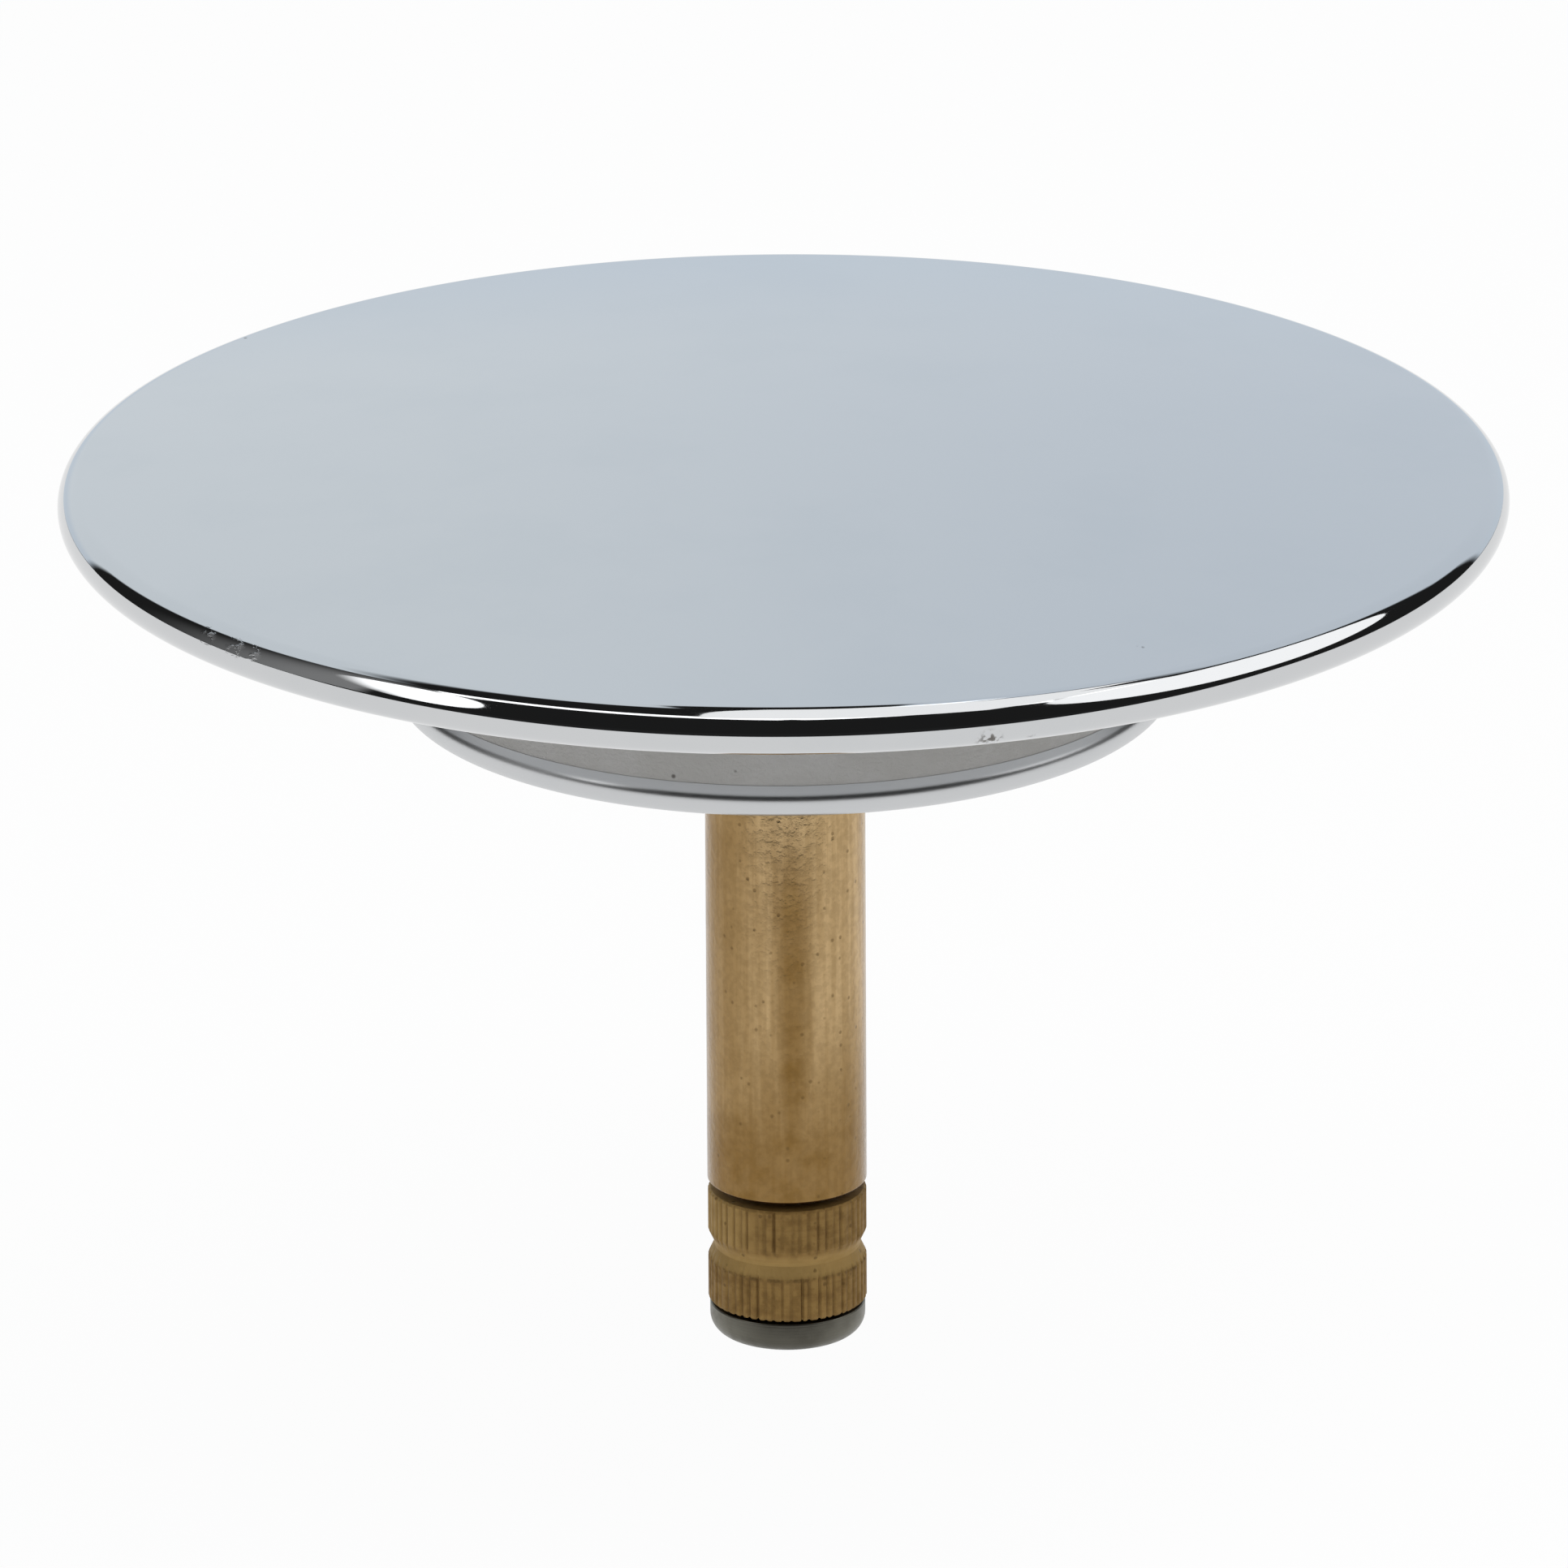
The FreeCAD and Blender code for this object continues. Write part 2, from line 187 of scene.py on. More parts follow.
# %% Walls
WALL_LEFT = (0.80, 0.86, 0.91, 1.0)
WALL_RIGHT = (0.71, 0.78, 0.86, 1.0)
WALL_FOOT = (0.69, 0.77, 0.855, 1.0)
WALL_TOP = math.radians(60.0)
SLIT_FOOT = math.radians(36.0)
SLIT_HALF = math.radians(9.0)
WALL_FOOT_HALF = math.radians(43.5)
WALL_HALF = math.radians(30.0)
WALL_SPREAD = 0.75
WALL_RIGHT_END = math.radians(48.0)
SOFT_AT_SLIT = -0.03
SOFT_AWAY = -0.12
FADE_END = 0.02
EDGE_SOFT = 0.04
SIDE_SWITCH = 0.01
SHEET_BLEND = 0.09
FOOT_BLEND = (0.06, 0.24)
ROOM_COLOUR = (0.016, 0.016, 0.016, 1.0)
WHITE = (1.0, 1.0, 1.0, 1.0)

scene.world = bpy.data.worlds.new("studio_walls")
scene.world.use_nodes = True
walls = scene.world.node_tree
walls.nodes.clear()
where = add(walls, "ShaderNodeTexCoord", {"object": turntable})
axes = split(walls, where.outputs["Object"])
height = maths(walls, "ARCSINE", axes["Z"])
bearing = maths(walls, "ARCTAN2", axes["X"], axes["Y"])
aside = maths(walls, "ABSOLUTE", bearing)
ceiling = step(walls, aside, 0.0, SLIT_HALF, SLIT_FOOT, WALL_TOP)
soft = step(walls, aside, SLIT_HALF, 3 * SLIT_HALF, SOFT_AT_SLIT, SOFT_AWAY)
tall = step(walls, maths(walls, "SUBTRACT", height, ceiling), soft, FADE_END, 1.0, 0.0)
edge = maths(walls, "MULTIPLY_ADD", height, WALL_SPREAD, WALL_HALF)
edge = maths(walls, "MAXIMUM", edge, WALL_FOOT_HALF)
limit = step(walls, axes["X"], -SIDE_SWITCH, SIDE_SWITCH, math.pi, WALL_RIGHT_END)
edge = maths(walls, "MINIMUM", edge, limit)
wide = step(walls, maths(walls, "SUBTRACT", aside, edge), -EDGE_SOFT, EDGE_SOFT, 1.0, 0.0)
wall = tint(walls, step(walls, axes["X"], -SHEET_BLEND, SHEET_BLEND), WALL_LEFT, WALL_RIGHT)
wall = tint(walls, step(walls, height, *FOOT_BLEND), WALL_FOOT, wall)
room = tint(walls, maths(walls, "MULTIPLY", wide, tall), ROOM_COLOUR, wall)
print("pale sheets behind, dark room in front")

# %% Glow on the left, and white for the camera
GLOW = 0.26
GLOW_START = (math.radians(-114.0), math.radians(-110.0))
GLOW_FADE = (math.radians(-104.0), math.radians(-60.0))
GLOW_TOP = (math.radians(54.0), math.radians(60.0))

glow = step(walls, bearing, *GLOW_FADE, GLOW, 0.0)
glow = maths(walls, "MULTIPLY", glow, step(walls, bearing, *GLOW_START))
glow = maths(walls, "MULTIPLY", glow, step(walls, height, *GLOW_TOP, 1.0, 0.0))
room = tint(walls, glow, room, WHITE)
light = add(walls, "ShaderNodeLightPath")
seen = tint(walls, light.outputs["Is Camera Ray"], room, WHITE)
background = add(walls, "ShaderNodeBackground", Color=seen, Strength=1.0)
add(walls, "ShaderNodeOutputWorld", Surface=background.outputs[0])
print("white behind the stopper, as the camera sees it")

# %% [markdown]
# A softbox is an area lamp. What counts on a mirror is how bright its face looks, so each is given by that,
# and its power follows from its area. Those overhead hang flat at one height and are placed in shares of
# that height. Those at the sides face the stopper and are placed by bearing and height in degrees.
# The fill lights rubber and paper from the camera's side. A mirror would show it, so mirror rays skip it.

# %% Softboxes
CEILING = 0.90
SIDE_DISTANCE = 0.80
PANELS = ((-0.106, 0.08, 0.66), (0.08, 0.30, 0.52), (0.30, 0.51, 0.32))
PANEL_FRONT = -0.38
PANEL_TURN = -8.2
PANEL_LIGHT = 1.25
STRIP_DEPTH = 0.15
STRIP_LIGHT = 2.2


def softbox(name, width, depth, radiance, shape="RECTANGLE", fade=0.0):
    """A soft lamp, given by how bright its face looks; fade is the share of its width that dims."""
    lamp = bpy.data.lights.new(name, "AREA")
    lamp.shape = shape
    lamp.size = width
    lamp.size_y = depth
    area = width * depth * (math.pi / 4 if shape == "ELLIPSE" else 1.0)
    lamp.energy = radiance * math.pi * area
    if fade:
        lamp.use_nodes = True
        tree = lamp.node_tree
        face = add(tree, "ShaderNodeNewGeometry").outputs["Parametric"]
        along = split(tree, face)["X"]
        feed(tree, tree.nodes["Emission"].inputs["Strength"], step(tree, along, 0.0, fade))
    holder = bpy.data.objects.new(name, lamp)
    scene.collection.objects.link(holder)
    holder.parent = turntable
    holder.visible_camera = False
    return holder


def hang(holder, x, y, turn):
    """Hangs a lamp overhead, face down."""
    holder.location = Vector((x, y, 1.0)) * CEILING
    holder.rotation_euler = (0.0, 0.0, math.radians(turn))


def aim(holder, bearing, height, lean=0.0, distance=SIDE_DISTANCE):
    """Stands a lamp at a bearing and a height, with its face to the stopper."""
    bearing = math.radians(bearing)
    height = math.radians(height)
    level = math.cos(height)
    out = Vector((level * math.sin(bearing), level * math.cos(bearing), math.sin(height)))
    holder.location = out * distance
    facing = out.to_track_quat("Z", "Y") @ Quaternion((0.0, 0.0, 1.0), math.radians(lean))
    holder.rotation_euler = facing.to_euler()


for left, right, rear in PANELS:
    width, depth = (right - left) * CEILING, (rear - PANEL_FRONT) * CEILING
    panel = softbox("softbox_above", width, depth, PANEL_LIGHT)
    middle = Vector(((left + right) / 2, (PANEL_FRONT + rear) / 2, 0.0))
    middle.rotate(Quaternion((0.0, 0.0, 1.0), math.radians(PANEL_TURN)))
    hang(panel, middle.x, middle.y, PANEL_TURN)
hang(softbox("strip_front_left", 0.69, STRIP_DEPTH, STRIP_LIGHT), -0.32, -0.285, -26.0)
hang(softbox("strip_front_right", 0.50, STRIP_DEPTH, STRIP_LIGHT), 0.26, -0.335, 25.0)
aim(softbox("softbox_right", 0.85, 0.75, 1.4, "ELLIPSE"), 94.3, 38.5, 15.0)
aim(softbox("softbox_left", 0.315, 0.72, 1.7, "ELLIPSE", 0.35), -115.2, 33.0, 29.0)
fill = softbox("fill_from_camera", 1.2, 1.2, 1.3)
aim(fill, 180.0, 45.0, 0.0, 1.0)
fill.visible_glossy = False

# %% [markdown]
# The floor is a sheet of white paper. For the camera it is white with a faint shadow, and for mirror rays it
# ends where the photographed sheet ended. Seen from below, it lets the camera through.

# %% Paper floor
FLOOR = cad_box[0].z - 8.0 * MM
FLOOR_HALF = 3.0
PAPER_FRONT = -0.235
PAPER_SIDE = 1.4
FRONT_SOFT = 0.01
SIDE_SOFT = 0.02
PAPER_LIGHT = 0.92

floor_mesh = bpy.data.meshes.new("paper_floor")
corners = [(x * FLOOR_HALF, y * FLOOR_HALF, FLOOR) for x, y in ((-1, -1), (1, -1), (1, 1), (-1, 1))]
floor_mesh.from_pydata(corners, [], [(0, 1, 2, 3)])
floor = bpy.data.objects.new("paper_floor", floor_mesh)
scene.collection.objects.link(floor)
floor.parent = turntable
paper = bpy.data.materials.new("paper")
paper.use_nodes = True
nodes = paper.node_tree
nodes.nodes.clear()
axes = split(nodes, add(nodes, "ShaderNodeTexCoord").outputs["Object"])
front = step(nodes, axes["Y"], PAPER_FRONT - FRONT_SOFT, PAPER_FRONT + FRONT_SOFT)
aside = maths(nodes, "ABSOLUTE", axes["X"])
side = step(nodes, aside, PAPER_SIDE - SIDE_SOFT, PAPER_SIDE + SIDE_SOFT, 1.0, 0.0)
sheet = maths(nodes, "MULTIPLY", maths(nodes, "MULTIPLY", front, side), PAPER_LIGHT)
print(f"floor at {FLOOR / MM:.1f} mm")

# %% What camera, mirror and other rays see of the paper
PAPER_COLOUR = (0.9, 0.9, 0.9, 1.0)
CAMERA_WHITE = 0.94
BARE_FLOOR = 0.02

light = add(nodes, "ShaderNodeLightPath").outputs
lit = add(nodes, "ShaderNodeBsdfDiffuse", Color=PAPER_COLOUR)
white = add(nodes, "ShaderNodeEmission", Color=WHITE, Strength=1.0)
mirrored = add(nodes, "ShaderNodeEmission", Color=WHITE, Strength=maths(nodes, "ADD", sheet, BARE_FLOOR))


def choose(share, first, second):
    """One of two shaders, or a mix of them."""
    node = add(nodes, "ShaderNodeMixShader", Fac=share)
    feed(nodes, node.inputs[1], first.outputs[0])
    feed(nodes, node.inputs[2], second.outputs[0])
    return node


plain = choose(maths(nodes, "MULTIPLY", light["Is Camera Ray"], CAMERA_WHITE), lit, white)
shown = choose(light["Is Glossy Ray"], plain, mirrored)
below = add(nodes, "ShaderNodeNewGeometry").outputs["Backfacing"]
under = choose(below, shown, add(nodes, "ShaderNodeBsdfTransparent"))
add(nodes, "ShaderNodeOutputMaterial", Surface=under.outputs[0])
floor_mesh.materials.append(paper)
print("paper: white for the camera, with its front edge in mirrors")

# %% [markdown]
# ## Half sections
# Each piece is turned on a lathe, so its shape is one line: the half section, as distances from the axis
# and heights. Straight stretches need only their ends. Round stretches are worked out as arcs. A turned
# edge is never quite sharp, and on metal that thin round is what catches the light, so corners are rounded
# as the line is drawn instead of with a bevel afterwards.

# %% Lines for a half section
def arc(centre, radius, start, end, steps, ease=1.0):
    """Points round a centre, from one angle to another in degrees; ease above 1 crowds them at the end."""
    points = []
    for number in range(steps + 1):
        share = 1.0 - (1.0 - number / steps) ** ease
        angle = math.radians(start + (end - start) * share)
        points.append((centre[0] + radius * math.cos(angle), centre[1] + radius * math.sin(angle)))
    return points


def rounded(corners, radius, steps=4):
    """A line through corners, with each inner corner replaced by a small arc that touches both sides."""
    line = [corners[0]]
    for before, corner, after in zip(corners, corners[1:], corners[2:]):
        first = (Vector(before) - Vector(corner)).normalized()
        second = (Vector(after) - Vector(corner)).normalized()
        half = first.angle(second) / 2
        cut = radius / math.tan(half)
        centre = Vector(corner) + (first + second).normalized() * (radius / math.sin(half))
        start = Vector(corner) + first * cut - centre
        end = Vector(corner) + second * cut - centre
        turning = start.angle_signed(end)
        for number in range(steps + 1):
            angle = math.atan2(start.y, start.x) - turning * number / steps
            line.append((centre.x + radius * math.cos(angle), centre.y + radius * math.sin(angle)))
    line.append(corners[-1])
    return line


print("arcs and rounded corners ready")

# %% [markdown]
# ## One tree that turns a half section
# Blender has a Screw modifier and a Spin tool for this. Geometry Nodes do it too: a flat grid has one row
# for each point of the half section and one column for each step round the axis, and Set Position rolls it
# up. That way the next trees can bend the same grid by a rule before it is closed, for teeth and a thread.
# Numbers written along the half section, such as how far a stretch is polished, go along as attributes.

# %% Tree: spin a half section
WELD = 0.001 * MM


def spin_tree():
    """A group with the flat grid, and how far round, how far along and where each of its points is."""
    tree, given, out = new_group(
        "spin_half_section", "GeometryNodeTree",
        [("Section", "Geometry"), ("Steps", "Int", 96)],
        [("Grid", "Geometry"), ("Turn", "Float"), ("Row", "Float"), ("Radius", "Float"),
         ("Height", "Float")],
    )
    rows = add(tree, "GeometryNodeAttributeDomainSize", Geometry=given["Section"]).outputs["Point Count"]
    columns = maths(tree, "ADD", given["Steps"], 1.0)
    grid = add(tree, "GeometryNodeMeshGrid", Size_X=1.0, Size_Y=1.0, Vertices_X=columns, Vertices_Y=rows)
    index = add(tree, "GeometryNodeInputIndex").outputs[0]
    row = maths(tree, "FLOORED_MODULO", index, rows)
    column = maths(tree, "FLOOR", maths(tree, "DIVIDE", maths(tree, "ADD", index, 0.5), rows))
    turn = maths(tree, "MULTIPLY", maths(tree, "DIVIDE", column, given["Steps"]), math.tau)
    place = add(tree, "GeometryNodeInputPosition").outputs[0]
    sample = add(tree, "GeometryNodeSampleIndex", {"data_type": "FLOAT_VECTOR"},
                 Geometry=given["Section"], Value=place, Index=row)
    axes = split(tree, sample.outputs[0])
    for title, value in (("Grid", grid.outputs["Mesh"]), ("Turn", turn), ("Row", row),
                         ("Radius", axes["X"]), ("Height", axes["Z"])):
        feed(tree, out[title], value)
    return tree


SPIN = spin_tree()


def spin(tree, given):
    """The spin group, placed in a piece's own tree."""
    return add(tree, "GeometryNodeGroup", {"node_tree": SPIN},
               Section=given["Section"], Steps=given["Steps"]).outputs


def mark(tree, given, spun, title):
    """The number that the half section carries under a title, at each point of the grid."""
    along = add(tree, "GeometryNodeInputNamedAttribute", {"data_type": "FLOAT"}, Name=title)
    return add(tree, "GeometryNodeSampleIndex", {"data_type": "FLOAT"},
               Geometry=given["Section"], Value=along.outputs["Attribute"], Index=spun["Row"]).outputs[0]


def finish_tree(tree, given, out, spun, radius, title, value, height=None):
    """Rolls the grid up, stores a number for the finish, closes seam and poles, sets the material."""
    place = add(tree, "ShaderNodeCombineXYZ",
                X=maths(tree, "MULTIPLY", radius, maths(tree, "COSINE", spun["Turn"])),
                Y=maths(tree, "MULTIPLY", radius, maths(tree, "SINE", spun["Turn"])),
                Z=height or spun["Height"])
    marked = add(tree, "GeometryNodeStoreNamedAttribute", {"data_type": "FLOAT", "domain": "POINT"},
                 Geometry=spun["Grid"], Name=title, Value=value)
    rolled = add(tree, "GeometryNodeSetPosition", Geometry=marked.outputs[0], Position=place.outputs[0])
    whole = add(tree, "GeometryNodeMergeByDistance", Geometry=rolled.outputs[0], Distance=WELD)
    smooth = add(tree, "GeometryNodeSetShadeSmooth", Geometry=whole.outputs[0])
    real = add(tree, "GeometryNodeRealizeInstances", Geometry=smooth.outputs[0])
    done = add(tree, "GeometryNodeSetMaterial", Geometry=real.outputs[0], Material=given["Finish"])
    feed(tree, out["Piece"], done.outputs[0])
    return tree


LATHE_INPUTS = [("Section", "Geometry"), ("Steps", "Int", 96), ("Finish", "Material")]
PIECE_OUTPUT = [("Piece", "Geometry")]


def turned_tree():
    """The plain lathe: a half section spun as it is."""
    tree, given, out = new_group("turned_piece", "GeometryNodeTree", LATHE_INPUTS, PIECE_OUTPUT)
    spun = spin(tree, given)
    return finish_tree(tree, given, out, spun, spun["Radius"], "polish", mark(tree, given, spun, "polish"))


TURNED = turned_tree()
print("tree:", TURNED.name, "with", len(TURNED.nodes), "nodes")

# %% [markdown]
# A tree lives in a modifier. The helper below puts a half section in as a line of points, runs the tree,
# keeps the result as a plain mesh, and ties it to the CAD node that it stands for.

# %% Helper: run a tree and keep its mesh
SHARP = math.radians(40.0)


def make_piece(name, node, body, slot, section, tree, finish, steps, marks=None, **sizes):
    """Makes a piece from a half section in millimetres; marks are numbers along that line."""
    line = bpy.data.meshes.new(name + "_section")
    points = [(radius * MM, 0.0, height * MM) for radius, height in section]
    line.from_pydata(points, [(number, number + 1) for number in range(len(points) - 1)], [])
    for title, values in (marks or {}).items():
        line.attributes.new(title, "FLOAT", "POINT").data.foreach_set("value", values)
    holder = bpy.data.objects.new(name + "_section", line)
    scene.collection.objects.link(holder)
    modifier = holder.modifiers.new(tree.name, "NODES")
    modifier.node_group = tree
    values = {"Steps": steps, "Finish": finish, **sizes}
    for socket in tree.interface.items_tree:
        title = socket.name.replace(" ", "_")
        if socket.in_out == "INPUT" and title in values:
            modifier[socket.identifier] = values[title]
    ready = holder.evaluated_get(bpy.context.evaluated_depsgraph_get())
    mesh = bpy.data.meshes.new_from_object(ready)
    holder.modifiers.clear()
    bpy.data.objects.remove(holder)
    shell = bmesh.new()
    shell.from_mesh(mesh)
    bmesh.ops.recalc_face_normals(shell, faces=shell.faces)
    open_edges = sum(1 for edge in shell.edges if not edge.is_manifold)
    shell.to_mesh(mesh)
    shell.free()
    mesh.set_sharp_from_angle(angle=SHARP)
    mesh.name = name
    piece = bpy.data.objects.new(name, mesh)
    scene.collection.objects.link(piece)
    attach(piece, body)
    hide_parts(node)
    print(f"{name}: {len(mesh.polygons)} faces, {open_edges} open edges")


# %% [markdown]
# ## Effects that the finishes share
# Old metal is never one even colour. Water dries on it as a cloudy film, drawing and wiping leave fine
# lines, and dirt or corrosion leaves specks. Images of such marks could be painted, but noise and Voronoi
# textures on Object coordinates give them at a real scale from every side. Each effect is one group, so
# each material only says how large and how strong it is. Sizes are per millimetre.

# %% Shader groups: film, lines, specks
def film_group():
    """Soft clouds, as dried water, patina and bloom leave them."""
    tree, given, out = new_group(
        "cloudy_film", "ShaderNodeTree",
        [("Vector", "Vector"), ("Scale", "Float", 0.1), ("Low", "Float", 0.4), ("High", "Float", 0.6)],
        [("Film", "Float")],
    )
    noise = add(tree, "ShaderNodeTexNoise", Vector=given["Vector"], Scale=given["Scale"],
                Detail=5.0, Roughness=0.6)
    feed(tree, out["Film"], step(tree, noise.outputs[0], given["Low"], given["High"]))
    return tree


def lines_group():
    """Fine lines: noise that is stretched most along the axis with the smallest number."""
    tree, given, out = new_group(
        "fine_lines", "ShaderNodeTree",
        [("Vector", "Vector"), ("Stretch", "Vector"), ("Low", "Float", 0.4), ("High", "Float", 0.6)],
        [("Lines", "Float")],
    )
    pulled = add(tree, "ShaderNodeVectorMath", {"operation": "MULTIPLY"})
    feed(tree, pulled.inputs[0], given["Vector"])
    feed(tree, pulled.inputs[1], given["Stretch"])
    noise = add(tree, "ShaderNodeTexNoise", Vector=pulled.outputs[0], Scale=1.0, Detail=3.0, Roughness=0.55)
    feed(tree, out["Lines"], step(tree, noise.outputs[0], given["Low"], given["High"]))
    return tree


def specks_group():
    """Small spots in a share of the cells of a Voronoi pattern."""
    tree, given, out = new_group(
        "specks", "ShaderNodeTree",
        [("Vector", "Vector"), ("Scale", "Float", 1.0), ("Size", "Float", 0.3), ("Share", "Float", 0.2)],
        [("Specks", "Float")],
    )
    cells = add(tree, "ShaderNodeTexVoronoi", Vector=given["Vector"], Scale=given["Scale"])
    chance = add(tree, "ShaderNodeSeparateColor", Color=cells.outputs["Color"]).outputs[0]
    picked = maths(tree, "LESS_THAN", chance, given["Share"])
    core = maths(tree, "MULTIPLY", given["Size"], 0.4)
    spot = step(tree, cells.outputs["Distance"], core, given["Size"], 1.0, 0.0)
    feed(tree, out["Specks"], maths(tree, "MULTIPLY", picked, spot))
    return tree


FILM = film_group()
LINES = lines_group()
SPECKS = specks_group()
print("groups:", FILM.name, LINES.name, SPECKS.name)

# %% Helpers for materials
def new_finish(name, metallic):
    """A material, its tree, its shader, and a place on the surface in millimetres."""
    material = bpy.data.materials.new(name)
    material.use_nodes = True
    tree = material.node_tree
    shader = tree.nodes["Principled BSDF"]
    shader.inputs["Metallic"].default_value = metallic
    spot = add(tree, "ShaderNodeTexCoord").outputs["Object"]
    place = add(tree, "ShaderNodeVectorMath", {"operation": "SCALE"}, Vector=spot, Scale=1.0 / MM).outputs[0]
    return material, tree, shader, place


def effect(tree, group, place, **inputs):
    """One of the shared effects, placed in a material with its own values."""
    return add(tree, "ShaderNodeGroup", {"node_tree": group}, Vector=place, **inputs).outputs[0]


def carried(tree, title):
    """An attribute that the piece's tree has stored on its mesh."""
    return add(tree, "ShaderNodeAttribute", {"attribute_name": title}).outputs["Fac"]


def spots(tree, place, marks):
    """A mask of single round marks, each a centre and a radius in millimetres."""
    mask = 0.0
    for centre, size in marks:
        near = add(tree, "ShaderNodeVectorMath", {"operation": "DISTANCE"}, Vector=place)
        feed(tree, near.inputs[1], centre)
        mask = maths(tree, "MAXIMUM", step(tree, near.outputs["Value"], 0.3 * size, size, 1.0, 0.0), mask)
    return mask


def rough_up(tree, shader, height, depth):
    """Turns a height from 0 to 1 into a bump of a depth in millimetres."""
    bump = add(tree, "ShaderNodeBump", Strength=1.0, Distance=depth * MM, Height=height)
    feed(tree, shader.inputs["Normal"], bump.outputs["Normal"])


print("material helpers ready")

# %% [markdown]
# ### Chrome
# The cap and the collar are brass with a thin chrome plating. The dome and its rim are buffed to a mirror;
# the hollow underside and the collar were only plated, so they stay satin. Two materials could do it, but
# the half section already carries how far each stretch is polished, and that number sets the roughness.
# On top come a faint film of dried water, a few wiping lines and some tiny pits.

# %% Chrome plate
CHROME_COLOUR = (0.62, 0.63, 0.64, 1.0)
CLOUDED_COLOUR = (0.605, 0.618, 0.63, 1.0)
PIT_COLOUR = (0.16, 0.15, 0.14, 1.0)
MIRROR = 0.035
SATIN = 0.30
SCUFFS = [((-28.0, -22.4, 10.8), 0.7), ((-26.6, -24.0, 10.75), 0.8), ((-25.7, -25.0, 10.8), 0.6)]
PITTED = [((9.9, -34.6, 9.3), 0.9), ((11.9, -33.9, 9.2), 0.4), ((17.2, -27.3, 11.6), 0.25)]

CHROME, tree, shader, place = new_finish("chrome_plate", 1.0)
film = effect(tree, FILM, place, Scale=0.11, Low=0.42, High=0.68)
wiped = effect(tree, LINES, place, Stretch=(0.22, 4.0, 4.0), Low=0.60, High=0.72)
pits = effect(tree, SPECKS, place, Scale=0.22, Size=0.030, Share=0.10)
polished = step(tree, carried(tree, "polish"), 0.0, 1.0, SATIN, MIRROR)
dulled = maths(tree, "MULTIPLY_ADD", film, 0.012, polished)
scuffed = maths(tree, "MULTIPLY_ADD", wiped, 0.012, dulled)
scratches = effect(tree, LINES, place, Stretch=(1.6, 1.6, 5.0), Low=0.50, High=0.62)
scuff = maths(tree, "MULTIPLY", spots(tree, place, SCUFFS), scratches)
worn = maths(tree, "MULTIPLY_ADD", scuff, 0.30, scuffed)
crumbs = effect(tree, FILM, place, Scale=2.6, Low=0.47, High=0.60)
pits = maths(tree, "MAXIMUM", pits, maths(tree, "MULTIPLY", spots(tree, place, PITTED), crumbs))
feed(tree, shader.inputs["Roughness"], maths(tree, "MULTIPLY_ADD", pits, 0.3, worn))
clouded = tint(tree, film, CHROME_COLOUR, CLOUDED_COLOUR)
feed(tree, shader.inputs["Base Color"], tint(tree, pits, clouded, PIT_COLOUR))
rough_up(tree, shader, scuff, 0.010)
print("finish:", CHROME.name)

# %% [markdown]
# ### Rubber
# The seal is moulded from warm grey rubber. Its skin has a fine grain from the mould and a pale bloom where
# it has dried out.

# %% Seal rubber
RUBBER_COLOUR = (0.455, 0.445, 0.425, 1.0)
BLOOM_COLOUR = (0.50, 0.49, 0.475, 1.0)
DIRT_COLOUR = (0.12, 0.11, 0.10, 1.0)
SPECK = [((-5.45, -18.33, 1.95), 0.16)]

RUBBER, tree, shader, place = new_finish("seal_rubber", 0.0)
bloom = effect(tree, FILM, place, Scale=0.25, Low=0.40, High=0.66)
grain = effect(tree, FILM, place, Scale=5.0, Low=0.30, High=0.70)
dirt = effect(tree, SPECKS, place, Scale=0.8, Size=0.12, Share=0.06)
dirt = maths(tree, "MAXIMUM", dirt, spots(tree, place, SPECK))
dusty = tint(tree, bloom, RUBBER_COLOUR, BLOOM_COLOUR)
feed(tree, shader.inputs["Base Color"], tint(tree, dirt, dusty, DIRT_COLOUR))
feed(tree, shader.inputs["Roughness"], maths(tree, "MULTIPLY_ADD", bloom, 0.10, 0.38))
rough_up(tree, shader, grain, 0.02)
print("finish:", RUBBER.name)

# %% [markdown]
# ### Brass of the stem
# The stem is drawn bar, which runs with fine lines along its length. Years of wet have given it a brown
# patina in patches, with dark specks that crowd under the collar, where water stays longest. Painted shade
# in the patina's colour darkens a streak down its front and back, its left side and its foot, and painted
# light makes the top of its front and back lighter below the collar. Fine dust on it shows only where the
# surface turns away, which is what the shader's sheen is for. Each mark below is given by where it begins
# and ends, in millimetres.

# %% Stem brass
BRASS_COLOUR = (0.565, 0.397, 0.204, 1.0)
PAINTED_LIGHT_BRASS = (0.70, 0.51, 0.275, 1.0)
PATINA_AND_SHADE_COLOUR = (0.205, 0.111, 0.026, 1.0)
TARNISH_COLOUR = (0.13, 0.075, 0.025, 1.0)
DULL_SHEEN = (0.60, 0.55, 0.52, 1.0)
CROWD_RISE = (-9.0, -1.0)
# Where the painted shade and the painted light on the stem lie, in millimetres.
STREAK_PLACE = 0.35
STREAK_WIDTH = (0.2, 1.7)
STREAK_TOP = (-11.0, -3.5)
SHADY_SIDE = (-3.2, 0.2)
FOOT_RISE = (-25.0, -13.0)
PAINTED_LIGHT_RISE = (-9.0, -2.0)
PAINTED_LIGHT_WIDTH = (0.5, 3.0)

